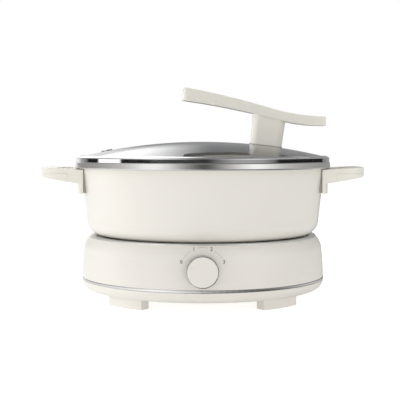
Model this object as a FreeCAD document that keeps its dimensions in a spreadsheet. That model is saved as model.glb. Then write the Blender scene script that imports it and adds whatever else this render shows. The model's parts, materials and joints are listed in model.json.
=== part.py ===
"""Electric hot pot: a heating base, a lift-off pot and a lift-off glass lid with a lever handle.

Millimetres. The origin is on the table under the middle of the base, +Z is up, the dial faces -Y
and +X is to the right of someone who faces the dial.
"""
import FreeCAD, Part
import os
from math import atan2, cos, pi, radians, sin, sqrt, tan
import Sketcher
from FreeCAD import Placement, Rotation, Vector

doc = FreeCAD.newDocument("hot_pot")

# ---------------------------------------------------------------------------------------------
# Driving sizes: millimetres, and degrees where the name ends in _angle or _lean
# ---------------------------------------------------------------------------------------------
SIZES = [
    # Feet, bottom cover and trim ring
    ("foot_height", 11.0), ("foot_width", 13.0), ("foot_angle", 24.4), ("foot_place_angle", 45.9),
    ("pad_proud", 0.3), ("pad_thickness", 2.0), ("pad_inset", 1.5),
    ("cover_height", 11.0), ("cover_inset", 11.0), ("shell_wall", 2.5),
    ("spigot_height", 4.0), ("spigot_wall", 2.0), ("spigot_gap", 0.3),
    ("slot_ring", 45.0), ("slot_length", 24.0), ("slot_width", 3.0), ("slot_count", 16),
    ("trim_height", 3.0), ("trim_proud", 0.3), ("trim_edge", 0.8),
    # Upper housing
    ("base_overhang", 5.0), ("base_draft", 1.6), ("side_height", 28.0), ("side_bulge", 250.0),
    ("housing_height", 43.3), ("lip_depth", 7.0), ("boss_radius", 4.5), ("boss_gap", 6.0),
    ("rib_width", 2.5),
    # Sheet steel liner in the mouth of the base
    ("liner_sheet", 0.8), ("liner_inset", 7.8), ("liner_curl", 0.8), ("liner_gap", 0.2),
    ("mouth_gap", 5.5), ("ledge_drop", 3.3), ("bowl_gap", 6.13), ("bowl_depth", 20.0),
    # Heating plate, element and what holds them
    ("plate_gap", 8.0), ("plate_thickness", 8.0), ("plate_sink", 3.3),
    ("element_gap", 17.0), ("element_radius", 4.0), ("element_sweep_angle", 330.0),
    ("element_drop", 20.0), ("element_hole_gap", 2.0),
    ("post_inset", 10.0), ("post_radius", 4.5),
    # Temperature sensor in the middle of the plate
    ("sensor_radius", 11.7), ("sensor_gap", 0.3), ("sensor_wall", 1.5), ("sensor_travel", 3.0),
    ("plate_bore_gap", 1.0), ("spring_radius", 7.5), ("spring_wire", 0.6), ("spring_turns", 5.0),
    # Dial: dished wall, control, knob
    ("control_rise", 18.7), ("dish_depth", 4.0), ("dish_rise", 2.8), ("dish_lean", 6.0),
    ("dish_wide_radius", 506.0), ("dish_tall_radius", 57.0), ("dish_half_width", 24.0),
    ("dish_half_height", 17.0), ("bushing_radius", 4.9), ("bushing_gap", 0.2),
    ("shaft_radius", 3.0), ("shaft_gap", 0.05), ("nut_width", 14.0), ("nut_thickness", 2.0),
    ("control_width", 30.0), ("control_tall", 24.0), ("control_deep", 18.0),
    ("knob_radius", 15.7), ("knob_ring_wall", 0.9), ("knob_depth", 10.2), ("knob_gap", 0.8),
    ("knob_wall", 1.8), ("knob_face_proud", 0.7), ("dial_start_angle", 157.5),
    ("pointer_length", 4.0), ("pointer_width", 1.0), ("pointer_depth", 0.5), ("pointer_margin", 1.6),
    # Appliance inlet at the back
    ("inlet_rise", 14.0), ("inlet_width", 27.0), ("inlet_tall", 19.0), ("inlet_deep", 24.0),
    ("inlet_wall", 1.6), ("inlet_flange", 3.5), ("inlet_flange_thickness", 1.8),
    ("inlet_socket_deep", 17.0), ("inlet_seat_inset", 1.9), ("blade_wide", 4.0), ("blade_thin", 2.0),
    ("blade_pitch", 7.0),
    # Wiring space
    ("terminal_length", 30.0), ("terminal_width", 16.0), ("terminal_tall", 14.0),
    ("terminal_gap", 28.1), ("fuse_radius", 2.2), ("fuse_length", 14.0), ("fuse_offset", 20.0),
    ("lead_radius", 1.1), ("lead_floor_gap", 4.0), ("lead_lift", 2.0), ("lead_tab", 6.0),
    ("lead_stub", 10.0), ("lead_low_gap", 6.0), ("lead_fuse_stub", 8.0), ("lead_fuse_run", 12.0),
    ("lead_far_run", 45.0), ("lead_block_stub", 12.0), ("lead_block_run", 16.0),
    ("lead_side", 34.0), ("lead_under_pin", 14.0), ("lead_pin_run", 8.0), ("tab_pitch", 8.0),
    ("tab_drop", 5.5), ("tab_thin", 3.0), ("tab_long", 8.0), ("tab_wide", 5.0), ("tab_root", 1.0),
    # Pot
    ("pot_radius", 127.0), ("pot_flare", 6.5), ("pot_corner", 16.0), ("pot_wall", 2.5),
    ("pot_height", 76.7), ("ride_gap", 0.4), ("contact_inset", 4.0),
    ("rim_overhang", 6.5), ("rim_sheet", 0.8), ("flange_thickness", 4.9), ("rim_corner", 1.2),
    ("rim_lap", 4.2),
    # Side handles
    ("handle_half_width", 43.0), ("handle_reach", 34.5), ("handle_root_drop", 1.8),
    ("handle_rise", 2.9), ("handle_root_thickness", 16.8), ("handle_tip_thickness", 10.3),
    ("handle_corner", 22.0), ("handle_tip_round", 5.0), ("handle_edge_round", 1.5),
    ("handle_gap", 1.0), ("lug_thickness", 3.0), ("lug_depth", 25.4),
    ("finger_length", 60.0), ("finger_width", 14.0), ("finger_corner", 6.0), ("grip_bar", 16.5),
    ("cover_cap", 5.0), ("cover_start", 3.5), ("seam_gap", 0.1),
    ("tongue_margin", 4.0), ("tongue_width", 8.0), ("tongue_sheet", 2.0), ("tongue_gap", 0.3),
    # Lid
    ("lid_inset", 1.2), ("band_sheet", 0.7), ("band_height", 5.3), ("band_hem", 0.7),
    ("band_shoulder", 1.3), ("band_lap", 4.2), ("skirt_gap", 1.3), ("skirt_depth", 5.0),
    ("glass_thickness", 4.0), ("glass_edge_gap", 0.4), ("glass_seat", 0.3), ("dome_rise", 17.1),
    ("vent_inset", 31.7), ("vent_hole", 4.0), ("vent_bore", 1.5), ("vent_flange", 6.5),
    # Lid handle: post and lever arm
    ("post_reach", 69.5), ("post_foot_width", 34.5), ("post_head_width", 36.7),
    ("post_foot_deep", 21.0), ("post_head_deep", 22.0), ("post_corner", 7.0),
    ("gasket_thickness", 1.0), ("arm_width", 24.0), ("arm_corner", 6.0),
    ("arm_reach", 90.5), ("arm_knee_reach", 3.0), ("arm_end_inset", 3.5),
    ("arm_tip_rise", 60.0), ("arm_knee_rise", 37.4), ("arm_end_rise", 27.6),
    ("arm_tip_thickness", 14.3), ("arm_knee_thickness", 10.7), ("arm_end_thickness", 10.0),
    ("arm_crest_radius", 880.0), ("arm_sag_radius", 220.0), ("arm_tip_slant", 2.4),
    ("arm_belly", 3.0),
    # Fasteners
    ("screw_radius", 1.9), ("screw_head_radius", 3.6), ("screw_head", 2.2), ("screw_clearance", 0.3),
    ("housing_screw_length", 18.5), ("liner_screw_length", 12.0), ("liner_screw_head", 1.5),
    ("plate_screw_bite", 4.0), ("handle_screw_bite", 3.0),
    ("lid_screw_radius", 2.4), ("lid_screw_head_radius", 4.6), ("lid_screw_head", 2.6),
    ("insert_radius", 3.6), ("insert_length", 5.0),
    ("washer_radius", 9.0), ("washer_thickness", 1.2), ("small_screw_radius", 1.25),
    ("small_head_radius", 2.4), ("small_head", 1.5), ("grip_screw_place", 20.0),
]

# Worked out from the driving sizes: heights above the table and radii about the pot's axis
LAYOUT = [
    ("base_radius", "dims.pot_radius + dims.base_overhang"),
    ("cover_z", "dims.foot_height"),
    ("trim_z", "layout.cover_z + dims.cover_height"),
    ("housing_z", "layout.trim_z + dims.trim_height"),
    ("shoulder_z", "layout.housing_z + dims.side_height"),
    ("seat_z", "layout.housing_z + dims.housing_height"),
    ("liner_top", "layout.seat_z + dims.liner_sheet"),
    ("ledge_z", "layout.liner_top - dims.ledge_drop - dims.liner_sheet"),
    ("bowl_z", "layout.liner_top - dims.ledge_drop - dims.bowl_depth"),
    ("bowl_floor", "layout.bowl_z + dims.liner_sheet"),
    ("plate_top", "layout.liner_top - dims.plate_sink"),
    ("plate_z", "layout.plate_top - dims.plate_thickness"),
    ("underside_z", "layout.liner_top + dims.ride_gap"),
    ("floor_top", "layout.cover_z + dims.shell_wall"),
    ("cover_flat", "layout.base_radius - dims.cover_inset"),
    ("spigot_radius", "layout.base_radius - dims.shell_wall - dims.spigot_gap"),
    ("shoulder_radius", "layout.base_radius - dims.base_draft"),
    ("liner_radius", "layout.base_radius - dims.liner_inset"),
    ("edge_radius", "layout.liner_radius + dims.liner_gap"),
    ("edge_z", "layout.seat_z - dims.liner_curl"),
    ("bend_radius", "(pow(layout.shoulder_radius - layout.edge_radius; 2)"
                    " + pow(layout.edge_z - layout.shoulder_z; 2))"
                    " / (2 * (layout.shoulder_radius - layout.edge_radius))"),
    ("bend_share_r", "1 - (layout.shoulder_radius - layout.edge_radius) / layout.bend_radius"),
    ("bend_share_z", "(layout.edge_z - layout.shoulder_z) / layout.bend_radius"),
    ("mouth_radius", "dims.pot_radius - dims.pot_corner + dims.mouth_gap"),
    ("lip_radius", "layout.mouth_radius + dims.liner_sheet + dims.liner_gap"),
    ("lip_z", "layout.seat_z - dims.lip_depth"),
    ("boss_ring", "layout.mouth_radius - dims.boss_gap"),
    ("foot_outer", "layout.boss_ring + dims.foot_width / 2"),
    ("foot_inner", "layout.boss_ring - dims.foot_width / 2"),
    ("sensor_bore", "dims.sensor_radius + dims.sensor_gap"),
    ("guide_radius", "layout.sensor_bore + dims.sensor_wall"),
    ("plate_bore", "layout.guide_radius + dims.plate_bore_gap"),
    ("sensor_top", "layout.plate_top - dims.sensor_gap"),
    ("guide_top", "layout.plate_top - dims.sensor_travel - 2 * dims.sensor_gap - dims.sensor_wall"),
    ("control_z", "layout.housing_z + dims.control_rise"),
    ("front_radius", "layout.base_radius - dims.base_draft * dims.control_rise / dims.side_height"),
    ("dish_radius", "layout.front_radius - dims.dish_depth"),
    ("dish_z", "layout.control_z + dims.dish_rise"),
    ("nut_seat", "layout.dish_radius - 0.3"),
    ("pad_radius", "layout.nut_seat - dims.shell_wall"),
    ("bowl_radius", "layout.pad_radius - dims.control_deep - dims.bowl_gap"),
    ("plate_radius", "layout.bowl_radius - dims.plate_gap"),
    ("post_ring", "layout.plate_radius - dims.post_inset"),
    ("element_ring", "layout.post_ring - dims.element_gap"),
    ("knob_back", "layout.base_radius + dims.knob_gap"),
    ("knob_front", "layout.knob_back + dims.knob_depth"),
    ("bushing_front", "layout.nut_seat + dims.nut_thickness + 0.6"),
    ("inlet_z", "layout.housing_z + dims.inlet_rise"),
    ("inlet_seat", "layout.base_radius - dims.inlet_seat_inset"),
    ("terminal_y", "layout.inlet_seat - dims.inlet_deep - dims.terminal_gap - dims.terminal_width / 2"),
    ("rim_radius", "dims.pot_radius + dims.pot_flare + dims.rim_overhang"),
    ("flange_z", "layout.plate_top + dims.pot_height"),
    ("flange_top", "layout.flange_z + dims.flange_thickness"),
    ("rim_top", "layout.flange_top + dims.rim_sheet"),
    ("corner_centre", "dims.pot_radius - dims.pot_corner"),
    ("corner_z", "layout.underside_z + dims.pot_corner"),
    ("mouth_wall", "dims.pot_radius + dims.pot_flare - dims.pot_wall"),
    ("contact_radius", "layout.bowl_radius - dims.contact_inset"),
    ("handle_top", "layout.flange_z - dims.rim_sheet - dims.handle_root_drop"),
    ("wall_slope", "dims.pot_flare / (layout.flange_z - layout.corner_z)"),
    ("wall_at_handle", "dims.pot_radius + (layout.handle_top - layout.corner_z) * layout.wall_slope"),
    ("lug_radius", "layout.wall_at_handle + dims.handle_gap"),
    ("lug_z", "layout.handle_top - dims.lug_depth"),
    ("handle_tip", "layout.rim_radius + dims.handle_reach"),
    ("handle_slope", "(dims.handle_root_thickness + dims.handle_rise - dims.handle_tip_thickness)"
                     " / (layout.handle_tip - layout.lug_radius + 15)"),
    ("bar_inner", "layout.handle_tip - dims.grip_bar"),
    ("finger_inner", "layout.bar_inner - dims.finger_width"),
    ("grip_start", "layout.rim_radius + dims.cover_start"),
    ("grip_z", "layout.handle_top + dims.handle_rise / 2 - dims.cover_cap"),
    ("rail_centre", "(dims.handle_half_width + dims.finger_length / 2) / 2"),
    ("tongue_top", "layout.grip_z + dims.seam_gap"),
    ("tongue_z", "layout.tongue_top - dims.tongue_sheet"),
    ("handle_screw_x", "layout.grip_start + dims.screw_head_radius + 2 * dims.tongue_gap"),
    ("tongue_end", "layout.handle_screw_x + dims.tongue_margin"),
    ("tongue_start", "layout.lug_radius - 15"),
    ("lid_radius", "layout.rim_radius - dims.lid_inset"),
    ("lid_z", "layout.rim_top"),
    ("band_floor", "layout.lid_z + dims.band_sheet"),
    ("band_inner", "layout.lid_radius - dims.band_sheet"),
    ("glass_radius", "layout.band_inner - dims.glass_edge_gap"),
    ("glass_edge_z", "layout.band_floor + dims.glass_seat + dims.glass_thickness"),
    ("apex_z", "layout.glass_edge_z + dims.dome_rise"),
    ("dome_radius", "(pow(layout.glass_radius; 2) + pow(dims.dome_rise; 2)) / (2 * dims.dome_rise)"),
    ("dome_centre", "layout.apex_z - layout.dome_radius"),
    ("dome_inner", "layout.dome_radius - dims.glass_thickness"),
    ("post_lean", "asin(dims.post_reach / layout.dome_radius)"),
    ("vent_reach", "layout.glass_radius - dims.vent_inset"),
    ("vent_lean", "-1 * asin(layout.vent_reach / layout.dome_radius)"),
    ("post_base", "layout.dome_radius + dims.gasket_thickness"),
    ("arm_tip_x", "dims.post_reach - dims.arm_reach"),
    ("arm_knee_x", "dims.post_reach + dims.arm_knee_reach"),
    ("arm_end_x", "layout.lid_radius - dims.arm_end_inset"),
    ("arm_tip_z", "layout.apex_z + dims.arm_tip_rise"),
    ("arm_knee_z", "layout.apex_z + dims.arm_knee_rise"),
    ("arm_end_z", "layout.apex_z + dims.arm_end_rise"),
    ("post_head", "layout.dome_radius + dims.arm_knee_rise - dims.arm_knee_thickness / 2 + 4.6"),
]


def make_sheet(name, cells, prefix):
    """Put each named value on its own row: its name in column A, the value in column B."""
    sheet = doc.addObject("Spreadsheet::Sheet", name)
    for row, (alias, value) in enumerate(cells, start=1):
        sheet.set(f"A{row}", alias)
        sheet.set(f"B{row}", f"{prefix}{value}")
        sheet.setAlias(f"B{row}", alias)
    return sheet


dims = make_sheet("dims", SIZES, "")
layout = make_sheet("layout", LAYOUT, "=")
doc.recompute()


def value_of(formula):
    """The number that a formula in the sheets' names gives."""
    return float(doc.dims.evalExpression(str(formula)))


# ---------------------------------------------------------------------------------------------
# Ways of making a piece
# ---------------------------------------------------------------------------------------------
TOWARDS_FRONT = Rotation(Vector(1, 0, 0), 90)
TOWARDS_BACK = Rotation(Vector(1, 0, 0), -90)
UPRIGHT = Rotation()


def bind(item, prop, formula):
    """Tie one property to a formula."""
    item.setExpression(prop, str(formula))


def place(item, at=(0, 0, 0), turn=UPRIGHT):
    """Put an object at a point given by three formulas."""
    item.Placement = Placement(Vector(*(value_of(each) for each in at)), turn)
    for axis, formula in zip("xyz", at):
        if isinstance(formula, str):
            bind(item, f"Placement.Base.{axis}", formula)
    return item


def arc_between(start, end, radius, turn):
    """The short arc from start to end; turn is 1 for anticlockwise and -1 for clockwise."""
    chord = end - start
    half = chord.Length / 2
    rise = sqrt(max(radius ** 2 - half ** 2, 0.0))
    left = Vector(-chord.y, chord.x, 0).normalize()
    centre = (start + end) / 2 + left * (rise * turn)
    first, last = (start, end) if turn > 0 else (end, start)
    begin = atan2(first.y - centre.y, first.x - centre.x)
    finish = atan2(last.y - centre.y, last.x - centre.x)
    if finish <= begin:
        finish += 2 * pi
    return Part.ArcOfCircle(Part.Circle(centre, Vector(0, 0, 1), radius), begin, finish)


def fix_point(sketch, edge, end, across, up):
    """Hold one end of an edge at two formulas, measured from the sketch's origin."""
    for kind, formula in (("DistanceX", across), ("DistanceY", up)):
        size = value_of(formula)
        if size < 0:
            pull = Sketcher.Constraint(kind, edge, end, -1, 1, -size)
            formula = f"-1 * ({formula})"
        else:
            pull = Sketcher.Constraint(kind, -1, 1, edge, end, size)
        index = sketch.addConstraint(pull)
        bind(sketch, f"Constraints[{index}]", formula)


def outline(body, name, role, corners, arcs=None, height=0):
    """A closed sketch through corners; arcs maps the edge after a corner to (radius, turn)."""
    arcs = arcs or {}
    sketch = body.newObject("Sketcher::SketchObject", name)
    plane = next(each for each in body.Origin.OriginFeatures if each.Role == role)
    sketch.AttachmentSupport = [(plane, "")]
    sketch.MapMode = "FlatFace"
    sketch.AttachmentOffset = Placement(Vector(0, 0, value_of(height)), Rotation())
    bind(sketch, "AttachmentOffset.Base.z", height)
    points = [Vector(value_of(across), value_of(up), 0) for across, up in corners]
    count = len(points)
    ends = []
    for index, start in enumerate(points):
        finish = points[(index + 1) % count]
        if index in arcs:
            radius, turn = arcs[index]
            sketch.addGeometry(arc_between(start, finish, value_of(radius), turn), False)
            ends.append((1, 2) if turn > 0 else (2, 1))
        else:
            sketch.addGeometry(Part.LineSegment(start, finish), False)
            ends.append((1, 2))
    for index in range(count):
        after = (index + 1) % count
        sketch.addConstraint(
            Sketcher.Constraint("Coincident", index, ends[index][1], after, ends[after][0]))
    for index, (across, up) in enumerate(corners):
        fix_point(sketch, index, ends[index][0], across, up)
    for index, (radius, turn) in arcs.items():
        held = sketch.addConstraint(Sketcher.Constraint("Radius", index, value_of(radius)))
        bind(sketch, f"Constraints[{held}]", radius)
    return sketch


def new_body(label):
    """An empty body with its own label."""
    return doc.addObject("PartDesign::Body", label)


def turned(label, corners, arcs=None, at=(0, 0, 0), turn=UPRIGHT):
    """A body turned about its own Z axis from an outline of (radius, height) corners."""
    body = new_body(label)
    profile = outline(body, f"{label}_outline", "XZ_Plane", corners, arcs)
    lathe = body.newObject("PartDesign::Revolution", f"{label}_turn")
    lathe.Profile = profile
    lathe.ReferenceAxis = (profile, ["V_Axis"])
    lathe.Angle = 360
    return place(body, at, turn)


def ring(label, inner, outer, low, high, **where):
    """A turned ring with a rectangular section."""
    return turned(label, [(inner, low), (outer, low), (outer, high), (inner, high)], **where)


def plate(label, role, corners, thickness, arcs=None, height=0, centred=False):
    """A body padded from an outline, upwards from a height or centred on its plane."""
    body = new_body(label)
    profile = outline(body, f"{label}_outline", role, corners, arcs, height)
    pad = body.newObject("PartDesign::Pad", f"{label}_pad")
    pad.Profile = profile
    bind(pad, "Length", thickness)
    pad.Midplane = centred
    return body


def rod(label, radius, length, at=(0, 0, 0), turn=UPRIGHT):
    """A plain cylinder that starts at a point."""
    item = doc.addObject("Part::Cylinder", label)
    bind(item, "Radius", radius)
    bind(item, "Height", length)
    return place(item, at, turn)


def block(label, size, at):
    """A box given by its three sizes and its lowest corner."""
    item = doc.addObject("Part::Box", label)
    for prop, formula in zip(("Length", "Width", "Height"), size):
        bind(item, prop, formula)
    return place(item, at)


def join(label, *items):
    """One solid from several that touch."""
    item = doc.addObject("Part::MultiFuse", label)
    item.Shapes = list(items)
    return item


def group(label, items):
    """Several separate solids in one object."""
    item = doc.addObject("Part::Compound", label)
    item.Links = list(items)
    return item


def cut(label, base, *tools):
    """The base less every tool."""
    item = doc.addObject("Part::Cut", label)
    item.Base = base
    item.Tool = tools[0] if len(tools) == 1 else group(f"{label}_tools", tools)
    return item


def overlap(label, first, second):
    """What two solids share."""
    item = doc.addObject("Part::Common", label)
    item.Base = first
    item.Tool = second
    return item


def round_the_axis(ring_radius, angle, height):
    """A point on a circle about the pot's axis, as three formulas."""
    return (f"({ring_radius}) * cos({angle})", f"({ring_radius}) * sin({angle})", height)


def screw(label, shank, length, head_radius, head, at, turn=UPRIGHT):
    """A pan-head screw whose shank points along its own +Z from the seat of its head."""
    return turned(label, [("0", f"-1 * ({head})"), (head_radius, f"-1 * ({head})"), (head_radius, "0"),
                          (shank, "0"), (shank, length), ("0", length)], at=at, turn=turn)


# ---------------------------------------------------------------------------------------------
# Base: bottom cover, feet, trim ring, upper housing
# ---------------------------------------------------------------------------------------------
FOOT_ANGLES = {"a": "dims.foot_place_angle", "b": "(180 - dims.foot_place_angle)",
               "c": "(180 + dims.foot_place_angle)", "d": "(360 - dims.foot_place_angle)"}


def foot_corners(inset):
    """Outline of one foot, in by an inset."""
    outer = f"layout.foot_outer - {inset}"
    inner = f"layout.foot_inner + {inset}"
    spread = f"(dims.foot_angle / 2 - 180 / pi * ({inset}) / layout.foot_outer)"
    low, high = f"(dims.foot_place_angle - {spread})", f"(dims.foot_place_angle + {spread})"
    corners = [(f"({radius}) * cos({angle})", f"({radius}) * sin({angle})")
               for radius, angle in ((outer, low), (outer, high), (inner, high), (inner, low))]
    return corners, {0: (outer, 1), 2: (inner, -1)}


def foot_ring(label, inset, low, thickness):
    """The four feet, or their pads, as one body mirrored across two planes."""
    corners, arcs = foot_corners(inset)
    body = plate(label, "XY_Plane", corners, thickness, arcs, height=low)
    body.AllowCompound = True
    first = body.Tip
    pattern = body.newObject("PartDesign::MultiTransform", f"{label}_pattern")
    pattern.Originals = [first]
    mirrors = []
    for axis in ("V_Axis", "H_Axis"):
        mirror = doc.addObject("PartDesign::Mirrored", f"{label}_{axis}")
        mirror.MirrorPlane = (first.Profile[0], [axis])
        mirrors.append(mirror)
    pattern.Transformations = mirrors
    body.Tip = pattern
    return body


def air_slots():
    """A ring of radial slots through the cover's floor, rounded at both ends."""
    near, far = "(dims.slot_ring - dims.slot_length / 2)", "(dims.slot_ring + dims.slot_length / 2)"
    half = "dims.slot_width / 2"
    body = plate("air_slots", "XY_Plane", [
        (f"{near} + {half}", f"-1 * {half}"), (f"{far} - {half}", f"-1 * {half}"),
        (f"{far} - {half}", half), (f"{near} + {half}", half)],
        "layout.floor_top", {1: (f"{half} * 1.05", 1), 3: (f"{half} * 1.05", 1)})
    body.AllowCompound = True
    first = body.Tip
    pattern = body.newObject("PartDesign::PolarPattern", "air_slots_pattern")
    pattern.Originals = [first]
    pattern.Axis = (first.Profile[0], ["N_Axis"])
    pattern.Angle = 360
    bind(pattern, "Occurrences", "dims.slot_count")
    body.Tip = pattern
    return body


def make_bottom_cover(pads):
    spigot_in = "layout.spigot_radius - dims.spigot_wall"
    inner_bend = "(dims.cover_height - dims.shell_wall - 1.5)"
    dish = turned("cover_dish", [
        ("0", "layout.cover_z"), ("layout.cover_flat", "layout.cover_z"),
        ("layout.base_radius", "layout.trim_z"), ("layout.spigot_radius", "layout.trim_z"),
        ("layout.spigot_radius", "layout.housing_z + dims.spigot_height"),
        (spigot_in, "layout.housing_z + dims.spigot_height"),
        (spigot_in, f"layout.floor_top + {inner_bend}"),
        (f"{spigot_in} - {inner_bend}", "layout.floor_top"), ("0", "layout.floor_top")],
        {1: ("(pow(dims.cover_inset; 2) + pow(dims.cover_height; 2)) / (2 * dims.cover_height)", 1),
         6: (inner_bend, -1)})
    feet = foot_ring("cover_feet", "0", "dims.pad_proud",
                     "dims.foot_height - dims.pad_proud + dims.shell_wall / 2")
    moulding = join("cover_moulding", dish, feet)
    wells = []
    for key, angle in FOOT_ANGLES.items():
        wells.append(rod(f"screw_hole_{key}", "dims.screw_radius + dims.screw_clearance",
                         "layout.floor_top", round_the_axis("layout.boss_ring", angle, "0")))
        wells.append(rod(f"screw_well_{key}", "dims.screw_head_radius + 2 * dims.screw_clearance",
                         "layout.cover_z", round_the_axis("layout.boss_ring", angle, "0")))
    return cut("bottom_cover", moulding, pads, air_slots(), *wells)


def make_trim_ring():
    inner = "layout.spigot_radius + 0.1"
    outer = "layout.base_radius + dims.trim_proud"
    edge = "dims.trim_edge"
    return turned("trim_ring", [
        (inner, "layout.trim_z"), (f"{outer} - {edge}", "layout.trim_z"),
        (outer, f"layout.trim_z + {edge}"), (outer, f"layout.housing_z - {edge}"),
        (f"{outer} - {edge}", "layout.housing_z"), (inner, "layout.housing_z")],
        {1: (edge, 1), 3: (edge, 1)})


def housing_cavity():
    """What is hollow inside the upper housing, less the thick wall left behind the dial."""
    inside = "layout.base_radius - dims.shell_wall"
    far = "layout.bowl_radius - 10"
    bend_r = "layout.edge_radius - dims.shell_wall * layout.bend_share_r"
    bend_z = "layout.edge_z - dims.shell_wall * layout.bend_share_z"
    lip = "layout.lip_radius + dims.shell_wall"
    hollow = turned("housing_hollow", [
        (far, "layout.housing_z - 1"), (inside, "layout.housing_z - 1"), (inside, "layout.housing_z"),
        ("layout.shoulder_radius - dims.shell_wall", "layout.shoulder_z"), (bend_r, bend_z),
        (lip, bend_z), (lip, "layout.lip_z"), (far, "layout.lip_z")],
        {3: ("layout.bend_radius - dims.shell_wall", 1)})
    backing_z = "layout.dish_z - dims.dish_half_height"
    backing = block("dial_backing",
                    ("2 * dims.dish_half_width", "30", "2 * dims.dish_half_height + 2"),
                    ("-1 * dims.dish_half_width", "-1 * layout.pad_radius - 30", backing_z))
    return cut("housing_cavity", hollow, backing)


def dial_dish():
    """The shallow dish pressed into the wall around the dial, leaning back at its top."""
    item = doc.addObject("Part::Torus", "dial_dish")
    bind(item, "Radius1", "dims.dish_wide_radius - dims.dish_tall_radius")
    bind(item, "Radius2", "dims.dish_tall_radius")
    reach = "(layout.dish_radius + dims.dish_wide_radius)"
    drop = "dims.dish_wide_radius * sin(dims.dish_lean)"
    level = "dims.dish_wide_radius * (1 - cos(dims.dish_lean))"
    place(item, ("0", f"-1 * ({reach} - {level})", f"layout.dish_z + {drop}"),
          Rotation(Vector(1, 0, 0), -value_of("dims.dish_lean")))
    bind(item, "Placement.Rotation.Angle", "dims.dish_lean")
    return item


def make_upper_housing():
    envelope = turned("housing_envelope", [
        ("layout.lip_radius", "layout.housing_z"), ("layout.base_radius", "layout.housing_z"),
        ("layout.shoulder_radius", "layout.shoulder_z"), ("layout.edge_radius", "layout.edge_z"),
        ("layout.liner_radius - dims.liner_sheet - dims.liner_gap", "layout.edge_z"),
        ("layout.liner_radius - dims.liner_sheet - dims.liner_gap", "layout.seat_z"),
        ("layout.lip_radius", "layout.seat_z")],
        {1: ("dims.side_bulge", 1), 2: ("layout.bend_radius", 1)})
    shell = cut("housing_shell", envelope, housing_cavity())
    pillars = []
    for key, angle in FOOT_ANGLES.items():
        boss_low = "layout.floor_top + 0.1"
        pillars.append(rod(f"housing_boss_{key}", "dims.boss_radius",
                           f"layout.ledge_z - ({boss_low})",
                           round_the_axis("layout.boss_ring", angle, boss_low)))
        rib = block(f"housing_rib_{key}",
                    ("layout.shoulder_radius - dims.shell_wall / 2 - layout.boss_ring",
                     "dims.rib_width", "dims.side_height - dims.spigot_height - 1"),
                    (f"layout.boss_ring * cos({angle}) + dims.rib_width / 2 * sin({angle})",
                     f"layout.boss_ring * sin({angle}) - dims.rib_width / 2 * cos({angle})",
                     "layout.housing_z + dims.spigot_height + 1"))
        rib.Placement.Rotation = Rotation(Vector(0, 0, 1), value_of(angle))
        bind(rib, "Placement.Rotation.Angle", angle)
        pillars.append(rib)
    solid = join("housing_solid", shell, *pillars)
    holes = [rod(f"boss_bore_{key}", "dims.screw_radius", "layout.ledge_z",
                 round_the_axis("layout.boss_ring", angle, "0"))
             for key, angle in FOOT_ANGLES.items()]
    bushing_hole = rod("bushing_hole", "dims.bushing_radius + dims.bushing_gap", "60",
                       ("0", "-1 * layout.pad_radius + 10", "layout.control_z"), TOWARDS_FRONT)
    spot_face = rod("nut_spot_face", "dims.nut_width / 2 + 2", "30",
                    ("0", "-1 * layout.nut_seat", "layout.control_z"), TOWARDS_FRONT)
    inlet_hole = block("inlet_hole", ("dims.inlet_width + 0.4", "60", "dims.inlet_tall + 0.4"),
                       ("-1 * dims.inlet_width / 2 - 0.2", "layout.inlet_seat - 30",
                        "layout.inlet_z - dims.inlet_tall / 2 - 0.2"))
    seat_side = "dims.inlet_flange + 0.3"
    inlet_flat = block("inlet_flat", (f"dims.inlet_width + 2 * ({seat_side})", "30",
                                      f"dims.inlet_tall + 2 * ({seat_side})"),
                       (f"-1 * dims.inlet_width / 2 - ({seat_side})", "layout.inlet_seat",
                        f"layout.inlet_z - dims.inlet_tall / 2 - ({seat_side})"))
    return cut("upper_housing", solid, dial_dish(), bushing_hole, spot_face, inlet_hole, inlet_flat,
               *holes)


def make_base_screws():
    """Screws up through the feet into the bosses, and down through the liner's ledge."""
    housing = [screw(f"housing_screw_{key}", "dims.screw_radius", "dims.housing_screw_length",
                     "dims.screw_head_radius", "dims.screw_head",
                     round_the_axis("layout.boss_ring", angle, "layout.cover_z"))
               for key, angle in FOOT_ANGLES.items()]
    liner = [screw(f"liner_screw_{key}", "dims.screw_radius", "dims.liner_screw_length",
                   "dims.screw_head_radius", "dims.liner_screw_head",
                   round_the_axis("layout.boss_ring", angle, "layout.ledge_z + dims.liner_sheet"),
                   Rotation(Vector(1, 0, 0), 180))
             for key, angle in FOOT_ANGLES.items()]
    return group("housing_screws", housing), group("liner_screws", liner)


# ---------------------------------------------------------------------------------------------
# Base: liner, heating plate, element, temperature sensor
# ---------------------------------------------------------------------------------------------
PLATE_POST_ANGLES = (90, 210, 330)
ELEMENT_ENDS = (-1, 1)
WIRE_SIDES = 12


def element_end(side, height):
    """The point on the element's ring where one end turns down, as three formulas."""
    angle = f"(-90 + {side} * (360 - dims.element_sweep_angle) / 2)"
    return round_the_axis("layout.element_ring", angle, height)


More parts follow.
